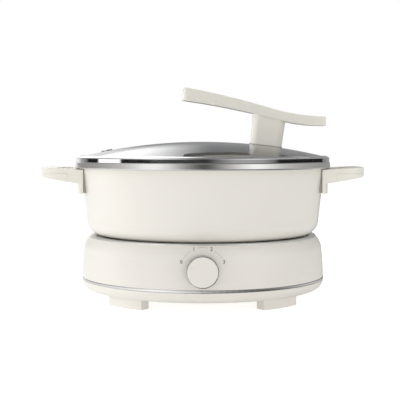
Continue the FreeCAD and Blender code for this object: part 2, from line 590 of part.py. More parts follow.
def make_heat_liner():
    sheet = "dims.liner_sheet"
    mouth_out = f"layout.mouth_radius + {sheet}"
    rim_bend = f"{sheet} + dims.liner_curl - 0.2"
    pressing = turned("liner_pressing", [
        ("layout.guide_radius + 0.1", "layout.bowl_z"), (f"layout.bowl_radius + {sheet}", "layout.bowl_z"),
        (f"layout.bowl_radius + {sheet}", "layout.ledge_z"), (mouth_out, "layout.ledge_z"),
        (mouth_out, "layout.seat_z"), (f"layout.liner_radius - {sheet}", "layout.seat_z"),
        (f"layout.liner_radius - {sheet}", "layout.edge_z"), ("layout.liner_radius", "layout.edge_z"),
        ("layout.liner_radius", f"layout.liner_top - ({rim_bend})"),
        (f"layout.liner_radius - ({rim_bend})", "layout.liner_top"),
        ("layout.mouth_radius", "layout.liner_top"), ("layout.mouth_radius", f"layout.ledge_z + {sheet}"),
        ("layout.bowl_radius", f"layout.ledge_z + {sheet}"), ("layout.bowl_radius", "layout.bowl_floor"),
        ("layout.guide_radius + 0.1", "layout.bowl_floor")], {8: (rim_bend, 1)})
    holes = [rod(f"element_hole_{side}", "dims.element_radius + dims.element_hole_gap", "10",
                 element_end(side, "layout.bowl_z - 5")) for side in ELEMENT_ENDS]
    for angle in PLATE_POST_ANGLES:
        holes.append(rod(f"liner_post_hole_{angle}", "dims.screw_radius + dims.screw_clearance", "10",
                         round_the_axis("layout.post_ring", angle, "layout.bowl_z - 5")))
    for key, angle in FOOT_ANGLES.items():
        holes.append(rod(f"liner_ledge_hole_{key}", "dims.screw_radius + dims.screw_clearance", "10",
                         round_the_axis("layout.boss_ring", angle, "layout.ledge_z - 5")))
    return cut("heat_liner", pressing, *holes)


def make_heating_plate(element):
    disc = ring("plate_disc", "layout.plate_bore", "layout.plate_radius", "layout.plate_z",
                "layout.plate_top")
    holes = [rod(f"plate_thread_{angle}", "dims.screw_radius", "dims.plate_screw_bite + 1 + 5",
                 round_the_axis("layout.post_ring", angle, "layout.plate_z - 5"))
             for angle in PLATE_POST_ANGLES]
    return cut("heating_plate", disc, element, *holes)


def make_heating_element():
    """A bent tube, half sunk in the plate's underside, with both ends turned down."""
    loop = doc.addObject("Part::Torus", "element_loop")
    bind(loop, "Radius1", "layout.element_ring")
    bind(loop, "Radius2", "dims.element_radius")
    bind(loop, "Angle3", "dims.element_sweep_angle")
    place(loop, ("0", "0", "layout.plate_z"))
    bind(loop, "Placement.Rotation.Angle", "-90 + (360 - dims.element_sweep_angle) / 2")
    pieces = [loop]
    for side in ELEMENT_ENDS:
        elbow = doc.addObject("Part::Sphere", f"element_elbow_{side}")
        bind(elbow, "Radius", "dims.element_radius")
        pieces.append(place(elbow, element_end(side, "layout.plate_z")))
        pieces.append(rod(f"element_tail_{side}", "dims.element_radius", "dims.element_drop",
                          element_end(side, "layout.plate_z - dims.element_drop")))
    return join("heating_element", *pieces)


def make_plate_posts():
    posts = [ring(f"plate_post_{angle}", "dims.screw_radius + dims.screw_clearance", "dims.post_radius",
                  "0", "layout.plate_z - layout.bowl_floor",
                  at=round_the_axis("layout.post_ring", angle, "layout.bowl_floor"))
             for angle in PLATE_POST_ANGLES]
    screws = [screw(f"plate_screw_{angle}", "dims.screw_radius",
                    "layout.plate_z - layout.bowl_z + dims.plate_screw_bite",
                    "dims.screw_head_radius", "dims.screw_head",
                    round_the_axis("layout.post_ring", angle, "layout.bowl_z"))
              for angle in PLATE_POST_ANGLES]
    return group("plate_posts", posts), group("plate_screws", screws)


def make_sensor():
    wall = "dims.sensor_wall"
    low = "layout.bowl_z - 3"
    flange = "layout.guide_radius + 3"
    turned("sensor_guide", [
        ("0", low), (flange, low), (flange, "layout.bowl_z"),
        ("layout.guide_radius", "layout.bowl_z"), ("layout.guide_radius", "layout.guide_top"),
        ("layout.sensor_bore", "layout.guide_top"), ("layout.sensor_bore", f"{low} + {wall}"),
        ("0", f"{low} + {wall}")])
    skirt = "layout.guide_top - dims.sensor_travel"
    turned("sensor_cap", [
        ("0", f"layout.sensor_top - {wall}"), (f"dims.sensor_radius - {wall}", f"layout.sensor_top - {wall}"),
        (f"dims.sensor_radius - {wall}", skirt), ("dims.sensor_radius", skirt),
        ("dims.sensor_radius", "layout.sensor_top - 1"), ("dims.sensor_radius - 1", "layout.sensor_top"),
        ("0", "layout.sensor_top")], {4: ("1", 1)})
    make_sensor_spring(value_of(f"{low} + {wall}"), value_of(f"layout.sensor_top - {wall}"))


def make_sensor_spring(low, high):
    """An open coil spring between the floor of the guide and the underside of the cap.

    The wire's section is a many-sided polygon, which keeps the coil's surface light.
    """
    wire = dims.spring_wire
    height = high - low - 2 * wire
    radius = dims.spring_radius
    path = Part.makeHelix(height / dims.spring_turns, height, radius)
    turns = [2 * pi * side / WIRE_SIDES for side in range(WIRE_SIDES)]
    corners = [Vector(radius + wire * cos(turn), 0, wire * sin(turn)) for turn in turns]
    section = Part.makePolygon(corners + corners[:1])
    coil = Part.Wire(path.Edges).makePipeShell([section], True, True)
    spring = doc.addObject("Part::Feature", "sensor_spring")
    spring.Shape = coil
    spring.Placement = Placement(Vector(0, 0, low + wire), Rotation())


# ---------------------------------------------------------------------------------------------
# Base: control, knob, inlet and wiring
# ---------------------------------------------------------------------------------------------
def front_turned(label, corners, arcs=None):
    """A body turned about the dial's axis; heights are distances in front of the pot's axis."""
    return turned(label, corners, arcs, at=("0", "0", "layout.control_z"), turn=TOWARDS_FRONT)


def make_control():
    case_front = "layout.pad_radius"
    case = block("control_case", ("dims.control_width", "dims.control_deep", "dims.control_tall"),
                 ("-1 * dims.control_width / 2", f"-1 * ({case_front})",
                  "layout.control_z - dims.control_tall / 2"))
    tabs = [block(f"control_tab_{side}", ("dims.tab_thin", "dims.tab_long", "dims.tab_wide"),
                  (f"{side} * dims.tab_pitch - dims.tab_thin / 2",
                   f"-1 * ({case_front}) + dims.control_deep - dims.tab_root",
                   "layout.control_z - dims.tab_drop - dims.tab_wide / 2")) for side in (-1, 1)]
    bushing = front_turned("control_bushing", [
        ("0", f"{case_front} - 1"), ("dims.bushing_radius", f"{case_front} - 1"),
        ("dims.bushing_radius", "layout.bushing_front"), ("0", "layout.bushing_front")])
    solid = join("control_solid", case, bushing, *tabs)
    shaft_bore = front_turned("control_bore", [
        ("0", f"{case_front} - 8"), ("dims.shaft_radius + dims.shaft_gap", f"{case_front} - 8"),
        ("dims.shaft_radius + dims.shaft_gap", "layout.knob_front"), ("0", "layout.knob_front")])
    cut("rotary_control", solid, shaft_bore)
    hexagon = doc.addObject("Part::Prism", "nut_hexagon")
    hexagon.Polygon = 6
    bind(hexagon, "Circumradius", "dims.nut_width / 2 / cos(30)")
    bind(hexagon, "Height", "dims.nut_thickness")
    place(hexagon, ("0", "-1 * layout.nut_seat", "layout.control_z"), TOWARDS_FRONT)
    nut_bore = rod("nut_bore", "dims.bushing_radius + 0.02", "30",
                   ("0", "-1 * layout.nut_seat + 10", "layout.control_z"), TOWARDS_FRONT)
    cut("control_nut", hexagon, nut_bore)
    shaft_back = f"{case_front} - 7.5"
    front_turned("control_shaft", [
        ("0", shaft_back), ("dims.shaft_radius", shaft_back),
        ("dims.shaft_radius", "layout.knob_front - dims.knob_wall - 0.3"),
        ("0", "layout.knob_front - dims.knob_wall - 0.3")])


def make_knob():
    cap_radius = "(dims.knob_radius - dims.knob_ring_wall)"
    face_back = "layout.knob_front - dims.knob_wall"
    hub = "dims.shaft_radius + 2.2"
    hub_back = "layout.bushing_front + 0.5"
    blank = front_turned("knob_blank", [
        ("0", face_back), ("dims.shaft_radius", face_back), ("dims.shaft_radius", hub_back),
        (hub, hub_back), (hub, face_back), (f"{cap_radius} - dims.knob_wall", face_back),
        (f"{cap_radius} - dims.knob_wall", "layout.knob_back + 0.5"),
        (cap_radius, "layout.knob_back + 0.5"), (cap_radius, "layout.knob_front - 0.6"),
        (f"{cap_radius} - 0.6", "layout.knob_front"), ("0", "layout.knob_front")], {8: ("0.6", 1)})
    pointer = doc.addObject("Part::Box", "pointer_groove")
    bind(pointer, "Length", "dims.pointer_length")
    bind(pointer, "Width", "dims.pointer_depth + 1")
    bind(pointer, "Height", "dims.pointer_width")
    lean = "dims.dial_start_angle"
    inner = f"(({cap_radius}) - dims.pointer_margin - dims.pointer_length)"
    place(pointer, (f"({inner}) * cos({lean}) + dims.pointer_width / 2 * sin({lean})",
                    "-1 * layout.knob_front - 1",
                    f"layout.control_z + ({inner}) * sin({lean}) - dims.pointer_width / 2 * cos({lean})"),
          Rotation(Vector(0, -1, 0), value_of(lean)))
    bind(pointer, "Placement.Rotation.Angle", lean)
    cut("knob_cap", blank, pointer)
    front_turned("knob_ring", [
        (cap_radius, "layout.knob_back"), ("dims.knob_radius - 0.3", "layout.knob_back"),
        ("dims.knob_radius", "layout.knob_back + 0.3"),
        ("dims.knob_radius", "layout.knob_front - dims.knob_face_proud - 0.4"),
        ("dims.knob_radius - 0.4", "layout.knob_front - dims.knob_face_proud"),
        (cap_radius, "layout.knob_front - dims.knob_face_proud")], {3: ("0.4", 1)})


def make_inlet():
    """A snap-in appliance inlet: a flanged socket with three blades that reach its back."""
    half, tall = "dims.inlet_width / 2", "dims.inlet_tall / 2"
    back = "layout.inlet_seat - dims.inlet_deep"
    sleeve = block("inlet_sleeve", ("dims.inlet_width", "dims.inlet_deep", "dims.inlet_tall"),
                   (f"-1 * {half}", back, f"layout.inlet_z - {tall}"))
    flange = block("inlet_face", ("dims.inlet_width + 2 * dims.inlet_flange",
                                  "dims.inlet_flange_thickness", "dims.inlet_tall + 2 * dims.inlet_flange"),
                   (f"-1 * {half} - dims.inlet_flange", "layout.inlet_seat",
                    f"layout.inlet_z - {tall} - dims.inlet_flange"))
    catches = [block(f"inlet_catch_{side}", ("1.4", "4", "8"),
                     (f"{side} * ({half} + 0.5) - 0.7", "layout.inlet_seat - 9", "layout.inlet_z - 4"))
               for side in (-1, 1)]
    solid = join("inlet_solid", sleeve, flange, *catches)
    socket = block("inlet_hollow", ("dims.inlet_width - 2 * dims.inlet_wall", "30",
                                    "dims.inlet_tall - 2 * dims.inlet_wall"),
                   (f"-1 * {half} + dims.inlet_wall",
                    "layout.inlet_seat + dims.inlet_flange_thickness - dims.inlet_socket_deep",
                    f"layout.inlet_z - {tall} + dims.inlet_wall"))
    blades = []
    for step in (-1, 0, 1):
        lift = 2 if step == 0 else -2
        blades.append(block(f"inlet_blade_{step}",
                            ("dims.blade_thin", "dims.inlet_deep + 2", "dims.blade_wide"),
                            (f"{step} * dims.blade_pitch - dims.blade_thin / 2", f"{back} - 6",
                             f"layout.inlet_z + {lift} - dims.blade_wide / 2")))
    pins = group("inlet_blades", blades)
    cut("power_inlet", solid, socket, pins)


def make_terminal_block():
    base_z = "layout.floor_top"
    body = block("terminal_body", ("dims.terminal_length", "dims.terminal_width", "dims.terminal_tall"),
                 ("-1 * dims.terminal_length / 2", "layout.terminal_y - dims.terminal_width / 2", base_z))
    wells = [rod(f"terminal_well_{step}", "2.5", "20",
                 (f"{step} * dims.terminal_length * 0.3", "layout.terminal_y",
                  f"{base_z} + dims.terminal_tall / 2")) for step in (-1, 0, 1)]
    cut("terminal_block", body, *wells)


def make_thermal_fuse():
    rod("thermal_fuse", "dims.fuse_radius", "dims.fuse_length",
        ("layout.element_ring * -1 * sin((360 - dims.element_sweep_angle) / 2)",
         "-1 * dims.fuse_offset", "layout.bowl_z - dims.fuse_radius"), TOWARDS_FRONT)


def bent_path(points):
    """Straight runs joined by tangent arcs, each as large as its two runs allow."""
    edges = []
    start = points[0]
    for before, corner, after in zip(points, points[1:], points[2:]):
        back, ahead = before - corner, after - corner
        reach = 0.45 * min(back.Length, ahead.Length)
        back.normalize()
        ahead.normalize()
        enter, leave = corner + back * reach, corner + ahead * reach
        half_turn = (pi - back.getAngle(ahead)) / 2
        radius = reach / tan(half_turn)
        inward = (back + ahead).normalize()
        centre = corner + inward * (radius / cos(half_turn))
        edges.append(Part.LineSegment(start, enter).toShape())
        edges.append(Part.Arc(enter, centre - inward * radius, leave).toShape())
        start = leave
    edges.append(Part.LineSegment(start, points[-1]).toShape())
    return Part.Wire(edges)


def lead_solid(points):
    """One insulated wire along straight runs joined by arcs."""
    path = bent_path(points)
    ahead = points[1] - points[0]
    section = Part.Wire(Part.makeCircle(dims.lead_radius, points[0], ahead))
    return path.makePipeShell([section], True, False)


def make_leads():
    """Wires from the inlet to the terminal block, and round the control, element and fuse."""
    floor = layout.floor_top + dims.lead_floor_gap
    raised = floor + dims.lead_lift
    low = floor + dims.lead_low_gap
    block_back = layout.terminal_y + dims.terminal_width / 2
    block_front = layout.terminal_y - dims.terminal_width / 2
    tab_y = layout.inlet_seat - dims.inlet_deep - dims.lead_tab
    way = dims.terminal_length * 0.3
    low_z = layout.inlet_z - dims.lead_lift
    routes = []
    for side in (-1, 1):
        across = side * dims.blade_pitch
        routes.append([Vector(across, tab_y, low_z), Vector(across, tab_y - dims.lead_tab, low_z),
                       Vector(side * way, block_back + dims.lead_tab, raised),
                       Vector(side * way, block_back, raised)])
    pin_x = layout.element_ring * sin(radians((360 - dims.element_sweep_angle) / 2))
    pin_y = -layout.element_ring * cos(radians((360 - dims.element_sweep_angle) / 2))
    pin_z = layout.plate_z - dims.element_drop
    tab_x = dims.tab_pitch
    control_y = -layout.pad_radius + dims.control_deep + dims.tab_long - dims.tab_root
    control_z = layout.control_z - dims.tab_drop
    stub_y = control_y + dims.lead_stub
    fuse_z = layout.bowl_z - dims.fuse_radius
    fuse_back = -dims.fuse_offset
    fuse_front = fuse_back - dims.fuse_length
    routes.append([Vector(tab_x, control_y, control_z), Vector(tab_x, stub_y, control_z),
                   Vector(pin_x, pin_y - dims.lead_pin_run, low), Vector(pin_x, pin_y, low),
                   Vector(pin_x, pin_y, pin_z)])
    routes.append([Vector(-pin_x, pin_y, pin_z), Vector(-pin_x, pin_y, low),
                   Vector(-pin_x, pin_y + dims.lead_stub, low + dims.lead_lift),
                   Vector(-pin_x, fuse_front - dims.lead_fuse_stub, fuse_z),
                   Vector(-pin_x, fuse_front, fuse_z)])
    routes.append([Vector(-pin_x, fuse_back, fuse_z),
                   Vector(-pin_x, fuse_back + dims.lead_fuse_run, fuse_z),
                   Vector(-pin_x, fuse_back + dims.lead_far_run, low),
                   Vector(-way, block_front - dims.lead_block_stub, raised),
                   Vector(-way, block_front, raised)])
    routes.append([Vector(way, block_front, raised), Vector(way, block_front - dims.lead_block_run, raised),
                   Vector(dims.lead_side, 0, floor), Vector(dims.lead_side, -dims.lead_far_run, floor),
                   Vector(0, pin_y - dims.lead_under_pin, floor), Vector(-tab_x, stub_y, control_z),
                   Vector(-tab_x, control_y, control_z)])
    leads = doc.addObject("Part::Feature", "internal_leads")
    leads.Shape = Part.makeCompound([lead_solid(route) for route in routes])


# ---------------------------------------------------------------------------------------------
# Pot
# ---------------------------------------------------------------------------------------------
def make_pot_shell():
    wall = "dims.pot_wall"
    contact = "layout.contact_radius"
    flange_edge = "layout.rim_radius - dims.rim_sheet"
    corner = "dims.rim_corner - dims.rim_sheet"
    return turned("pot_shell", [
        ("0", "layout.plate_top"), (contact, "layout.plate_top"), (contact, "layout.underside_z"),
        ("layout.corner_centre", "layout.underside_z"), ("dims.pot_radius", "layout.corner_z"),
        ("dims.pot_radius + dims.pot_flare", "layout.flange_z"),
        (f"{flange_edge} - ({corner})", "layout.flange_z"), (flange_edge, f"layout.flange_z + {corner}"),
        (flange_edge, f"layout.flange_top - ({corner})"),
        (f"{flange_edge} - ({corner})", "layout.flange_top"),
        ("layout.mouth_wall", "layout.flange_top"), ("layout.mouth_wall", "layout.flange_z"),
        (f"dims.pot_radius - {wall}", "layout.corner_z"),
        ("layout.corner_centre", f"layout.underside_z + {wall}"), ("0", f"layout.underside_z + {wall}")],
        {3: ("dims.pot_corner", 1), 6: (corner, 1), 8: (corner, 1), 12: (f"dims.pot_corner - {wall}", -1)})


def make_pot_rim():
    """A steel bead that wraps the top, edge and underside of the pot's flange."""
    sheet, corner = "dims.rim_sheet", "dims.rim_corner"
    edge = "layout.rim_radius"
    low, high = "layout.flange_z - dims.rim_sheet", "layout.rim_top"
    inner_edge = f"{edge} - {sheet}"
    inner = f"({corner} - {sheet})"
    lap = "layout.rim_radius - dims.rim_lap"
    return turned("pot_rim", [
        (lap, low), (f"{edge} - {corner}", low), (edge, f"{low} + {corner}"), (edge, f"{high} - {corner}"),
        (f"{edge} - {corner}", high), ("layout.mouth_wall", high), ("layout.mouth_wall", "layout.flange_top"),
        (f"{inner_edge} - {inner}", "layout.flange_top"), (inner_edge, f"layout.flange_top - {inner}"),
        (inner_edge, f"layout.flange_z + {inner}"), (f"{inner_edge} - {inner}", "layout.flange_z"),
        (lap, "layout.flange_z")],
        {1: (corner, 1), 3: (corner, 1), 7: (inner, -1), 9: (inner, -1)})


def handle_slab(name):
    """The handle's side view, from inside the lug to the tip, padded to its full width."""
    root, tip = "layout.lug_radius - 15", "layout.handle_tip"
    top = "(layout.handle_top + dims.handle_rise)"
    under = f"({top} - dims.handle_tip_thickness)"
    low, high = "dims.handle_tip_round", "dims.handle_edge_round"
    return plate(name, "XZ_Plane", [
        (root, "layout.handle_top - dims.handle_root_thickness"),
        (f"{tip} - {low}", f"{under} - {low} * layout.handle_slope"), (tip, f"{under} + {low}"),
        (tip, f"{top} - {high}"), (f"{tip} - {high}", top), (root, "layout.handle_top")],
        "2 * dims.handle_half_width", {1: (f"{low} * 1.1", 1), 3: (high, 1)}, centred=True)


def handle_plan(name):
    """The handle seen from above: square at the pot and round at its two outer corners."""
    root, tip, half, corner = ("layout.lug_radius - 20", "layout.handle_tip",
                               "dims.handle_half_width", "dims.handle_corner")
    return plate(name, "XY_Plane", [
        (root, f"-1 * {half}"), (f"{tip} - {corner}", f"-1 * {half}"), (tip, f"-1 * {half} + {corner}"),
        (tip, f"{half} - {corner}"), (f"{tip} - {corner}", half), (root, half)],
        "2 * dims.lug_depth", {1: (corner, 1), 3: (corner, 1)}, height="layout.lug_z - 1")


def finger_opening(name):
    """The rounded slot that the fingers go through."""
    near, far, half, bend = ("layout.finger_inner", "layout.bar_inner", "dims.finger_length / 2",
                             "dims.finger_corner")
    return plate(name, "XY_Plane", [
        (f"{near} + {bend}", f"-1 * {half}"), (f"{far} - {bend}", f"-1 * {half}"),
        (far, f"-1 * {half} + {bend}"), (far, f"{half} - {bend}"), (f"{far} - {bend}", half),
        (f"{near} + {bend}", half), (near, f"{half} - {bend}"), (near, f"-1 * {half} + {bend}")],
        "2 * dims.lug_depth + 10", {1: (bend, 1), 3: (bend, 1), 5: (bend, 1), 7: (bend, 1)},
        height="layout.lug_z - 5")


def rail_block(name, size, start, low, side):
    """A box in one side rail of a handle, from a distance out and a height."""
    return block(name, size, (start, f"{side} * layout.rail_centre - ({size[1]}) / 2", low))


def make_handle(side_name, turn):
    """One side handle: moulded body, cover under its grip, steel bracket and screws."""
    def named(piece):
        return f"{side_name}_{piece}"

    lug = ring(named("lug"), "layout.lug_radius", "layout.lug_radius + dims.lug_thickness",
               "layout.lug_z", "layout.handle_top - 1")
    blank = overlap(named("handle_blank"), join(named("handle_union"), lug, handle_slab(named("slab"))),
                    handle_plan(named("plan")))
    hollow = rod(named("pot_clearance"), "layout.lug_radius", "2 * dims.lug_depth",
                 ("0", "0", "layout.lug_z - 5"))
    slot_size = ("layout.tongue_end - layout.tongue_start", "dims.tongue_width + 2 * dims.tongue_gap",
                 "dims.tongue_sheet + dims.tongue_gap")
    pocket_size = ("layout.tongue_end + dims.tongue_gap - layout.grip_start",
                   "dims.tongue_width + 2 * dims.tongue_gap", "20")
    tongue_size = ("layout.tongue_end - layout.tongue_start", "dims.tongue_width", "dims.tongue_sheet")
    head_low = "layout.tongue_z - dims.screw_head - dims.tongue_gap"
    slots, pockets, tongues, bores, screws = [], [], [], [], []
    for side in (-1, 1):
        slots.append(rail_block(named(f"slot_{side}"), slot_size, "layout.tongue_start",
                                "layout.tongue_z - dims.tongue_gap", side))
        pockets.append(rail_block(named(f"pocket_{side}"), pocket_size, "layout.grip_start",
                                  head_low, side))
        tongues.append(rail_block(named(f"tongue_{side}"), tongue_size, "layout.tongue_start",
                                  "layout.tongue_z", side))
        spot = ("layout.handle_screw_x", f"{side} * layout.rail_centre")
        bores.append(rod(named(f"screw_bore_{side}"), "dims.screw_radius + 0.02",
                         "layout.tongue_top + 3.2 - layout.lug_z", (*spot, "layout.lug_z")))
        screws.append(screw(named(f"handle_screw_{side}"), "dims.screw_radius",
                            "dims.tongue_sheet + dims.handle_screw_bite", "dims.screw_head_radius",
                            "dims.screw_head", (*spot, "layout.tongue_z")))
    shaped = cut(named("handle_shaped"), blank, hollow, finger_opening(named("opening")), *slots)
    grip_box = block(named("grip_region"), ("60", "200", "60"),
                     ("layout.grip_start", "-100", "layout.grip_z - 60"))
    clear_box = block(named("grip_clear"), ("60", "200", "60"),
                      ("layout.grip_start - dims.seam_gap", "-100", "layout.tongue_top - 60"))
    pilots, wells, small_screws = [], [], []
    grip_x = "(layout.bar_inner + layout.handle_tip) / 2"
    for side in (-1, 1):
        spot = (grip_x, f"{side} * dims.grip_screw_place")
        pilots.append(rod(named(f"grip_pilot_{side}"), "dims.small_screw_radius + 0.02",
                          "dims.cover_cap / 2 + 30", (*spot, "layout.grip_z - 30")))
        wells.append(rod(named(f"grip_well_{side}"), "dims.small_head_radius + 0.2", "30",
                         (*spot, "layout.grip_z - 33")))
        small_screws.append(screw(named(f"grip_screw_{side}"), "dims.small_screw_radius",
                                  "3 + dims.cover_cap / 2 - 0.3", "dims.small_head_radius",
                                  "dims.small_head", (*spot, "layout.grip_z - 3")))
    handle = cut(named("handle"), shaped, clear_box, *pilots, *bores)
    grip = cut(named("under_grip"), overlap(named("grip_blank"), shaped, grip_box), *pilots, *wells,
               *pockets)
    bracket = make_bracket(named, tongues, bores)
    for item in (handle, grip, bracket):
        item.Placement = Placement(Vector(), turn)
    return screws, small_screws


def make_bracket(named, tongues, holes):
    """A steel saddle that fills the wedge between wall and lug, with a tongue into each rail."""
    wall = "(dims.pot_radius - layout.corner_z * layout.wall_slope)"
    low, high = "layout.lug_z + 1", "layout.handle_top - 1"
    outer = "layout.lug_radius - 0.1"
    saddle = turned(named("saddle"), [
        (f"{wall} + ({low}) * layout.wall_slope", low), (outer, low), (outer, high),
        (f"{wall} + ({high}) * layout.wall_slope", high)])
    span = block(named("saddle_span"), ("60", "2 * dims.handle_half_width - 4", "60"),
                 ("layout.lug_radius - 40", "-1 * dims.handle_half_width + 2", "layout.lug_z - 10"))
    inside = turned(named("wall_side"), [
        ("0", "layout.corner_z"), ("dims.pot_radius", "layout.corner_z"),
        ("dims.pot_radius + dims.pot_flare", "layout.flange_z"), ("0", "layout.flange_z")])
    arms = cut(named("bracket_arms"), group(named("tongues"), tongues), inside)
    return cut(named("bracket"), join(named("bracket_union"), overlap(named("saddle_part"), saddle, span),
                                      arms), *holes)


def make_handles():
    screws, small_screws = [], []
    for side_name, turn in (("right", UPRIGHT), ("left", Rotation(Vector(0, 0, 1), 180))):
        large, small = make_handle(side_name, turn)
        if side_name == "left":
            for item in large + small:
                flip_screw(item)
        screws += large
        small_screws += small
    group("handle_screws", screws)
    group("grip_screws", small_screws)


def flip_screw(item):
    """Carry a screw's bound place over to the left handle, half a turn about the pot's axis."""
    bound = dict(item.ExpressionEngine)
    for axis in "xy":
        prop = f"Placement.Base.{axis}"
        formula = bound.get(prop) or bound.get(f".{prop}")
        bind(item, prop, f"-1 * ({formula})")


# ---------------------------------------------------------------------------------------------
# Lid
# ---------------------------------------------------------------------------------------------
DOME = ("0", "0", "layout.dome_centre")


def on_dome(item, lean):
    """Stand a piece modelled about the dome's centre square on the glass, leaning about Y."""
    item.Placement = Placement(Vector(0, 0, value_of(DOME[2])),
                               Rotation(Vector(0, 1, 0), value_of(lean)))
    bind(item, "Placement.Base.z", DOME[2])
    if value_of(lean) < 0:
        item.Placement.Rotation = Rotation(Vector(0, -1, 0), -value_of(lean))
        bind(item, "Placement.Rotation.Angle", f"-1 * {lean}")
    else:
        bind(item, "Placement.Rotation.Angle", lean)
    return item


def make_lid_glass():
    edge = "layout.glass_radius"
    inner_edge_z = ("layout.dome_centre"
                    " + sqrt(pow(layout.dome_inner; 2) - pow(layout.glass_radius; 2))")
    dome = turned("glass_dome", [
        ("0", "layout.apex_z - dims.glass_thickness"), (edge, inner_edge_z),
        (edge, "layout.glass_edge_z"), ("0", "layout.apex_z")],
        {0: ("layout.dome_inner", -1), 2: ("layout.dome_radius", 1)})
    post_hole = on_dome(rod("glass_post_hole", "dims.lid_screw_radius + 1.2", "layout.dome_radius + 10"),
                        "layout.post_lean")
    vent_hole = on_dome(rod("glass_vent_hole", "dims.vent_hole", "layout.dome_radius + 10"),
                        "layout.vent_lean")
    cut("lid_glass", dome, post_hole, vent_hole)


def make_lid_band():
    """Sheet steel round the edge of the glass, with a skirt that locates inside the pot."""
    sheet, hem, shoulder = "dims.band_sheet", "dims.band_hem", "dims.band_shoulder"
    low, floor = "layout.lid_z", "layout.band_floor"
    edge, inner = "layout.lid_radius", "layout.band_inner"
    skirt = "(layout.mouth_wall - dims.skirt_gap)"
    top = "(layout.lid_z + dims.band_height)"
    lap = "(layout.lid_radius - dims.band_lap)"
    glass_at_lap = ("(layout.dome_centre + sqrt(pow(layout.dome_radius; 2)"
                    " - pow(layout.lid_radius - dims.band_lap; 2)) + 0.05)")
    glass_at_edge = "(layout.glass_edge_z + 0.05)"
    turned("lid_band", [
        (f"{skirt} - {sheet}", f"{low} - dims.skirt_depth"), (skirt, f"{low} - dims.skirt_depth"),
        (skirt, low), (f"{edge} - {hem}", low), (edge, f"{low} + {hem}"),
        (edge, f"{top} - {shoulder}"), (f"{edge} - {shoulder}", f"{glass_at_edge} + 1.25 * {sheet}"),
        (lap, f"{glass_at_lap} + {sheet}"), (lap, glass_at_lap), (inner, glass_at_edge),
        (inner, floor), (f"{skirt} - {sheet}", floor)],
        {3: (hem, 1), 5: (f"{shoulder} * 1.5", 1)})


def make_steam_vent():
    """A rolled steel eyelet through the glass."""
    over, under = "layout.dome_radius", "layout.dome_inner"
    vent = turned("steam_vent", [
        ("dims.vent_bore", f"{under} - 1"), ("dims.vent_flange - 1", f"{under} - 1"),
        ("dims.vent_flange - 1", f"{under} - 0.05"), ("dims.vent_hole - 0.1", f"{under} - 0.05"),
        ("dims.vent_hole - 0.1", f"{over} + 0.05"), ("dims.vent_flange", f"{over} + 0.05"),
        ("dims.vent_flange - 0.8", f"{over} + 1.1"), ("dims.vent_bore + 0.8", f"{over} + 1.1"),
        ("dims.vent_bore", f"{over} + 0.6")])
    on_dome(vent, "layout.vent_lean")


def rounded_box(body, name, width, deep, corner, height):
    """A sketch of a rectangle with four round corners, centred, at a height."""
    half, side = f"({width}) / 2", f"({deep}) / 2"
    return outline(body, name, "XY_Plane", [
        (f"-1 * {half} + {corner}", f"-1 * {side}"), (f"{half} - {corner}", f"-1 * {side}"),
        (half, f"-1 * {side} + {corner}"), (half, f"{side} - {corner}"), (f"{half} - {corner}", side),
        (f"-1 * {half} + {corner}", side), (f"-1 * {half}", f"{side} - {corner}"),
        (f"-1 * {half}", f"-1 * {side} + {corner}")],
        {1: (corner, 1), 3: (corner, 1), 5: (corner, 1), 7: (corner, 1)}, height)


def post_blank(name, foot_extra, low, high):
    """The post's tapering block about the screw's axis, with room all round if asked for."""
    body = new_body(name)
    foot = rounded_box(body, f"{name}_foot", f"dims.post_foot_width + {foot_extra}",
                       f"dims.post_foot_deep + {foot_extra}", "dims.post_corner", low)
    head = rounded_box(body, f"{name}_head", f"dims.post_head_width + {foot_extra}",
                       f"dims.post_head_deep + {foot_extra}", "dims.post_corner", high)
    loft = body.newObject("PartDesign::AdditiveLoft", f"{name}_loft")
    loft.Profile = foot
    loft.Sections = [head]
    return on_dome(body, "layout.post_lean")


def dome_ball(name, radius):
    """A ball about the dome's centre."""
    ball = doc.addObject("Part::Sphere", name)
    bind(ball, "Radius", radius)
    return place(ball, DOME)


def make_lid_arm():
    """The lever: a gentle S seen from the front, with round corners seen from above."""
    tip_foot_x = "layout.arm_tip_x - dims.arm_tip_slant"
    under_knee = "layout.arm_knee_z - dims.arm_knee_thickness - dims.arm_belly"
    side_view = plate("arm_side_view", "XZ_Plane", [
        (tip_foot_x, "layout.arm_tip_z - dims.arm_tip_thickness"),
        ("layout.arm_knee_x + 12", under_knee),
        ("layout.arm_end_x", "layout.arm_end_z - dims.arm_end_thickness"),
        ("layout.arm_end_x", "layout.arm_end_z"), ("layout.arm_knee_x", "layout.arm_knee_z"),
        ("layout.arm_tip_x", "layout.arm_tip_z")], "dims.arm_width",
        {0: ("dims.arm_crest_radius", -1), 1: ("dims.arm_sag_radius * 0.8", 1),
         3: ("dims.arm_sag_radius", -1), 4: ("dims.arm_crest_radius", 1)}, centred=True)
    plan = new_body("arm_plan")
    view = rounded_box(plan, "arm_plan_outline", "layout.arm_end_x - layout.arm_tip_x + dims.arm_tip_slant",
                       "dims.arm_width", "dims.arm_corner", "0")
    pad = plan.newObject("PartDesign::Pad", "arm_plan_pad")
    pad.Profile = view
    bind(pad, "Length", "300")
    place(plan, ("(layout.arm_end_x + layout.arm_tip_x - dims.arm_tip_slant) / 2", "0", "layout.lid_z"))
    blank = overlap("arm_blank", side_view, plan)
    insert_bore = on_dome(rod("arm_insert_bore", "dims.insert_radius", "layout.post_head"),
                          "layout.post_lean")
    return cut("lid_arm", blank, insert_bore), blank


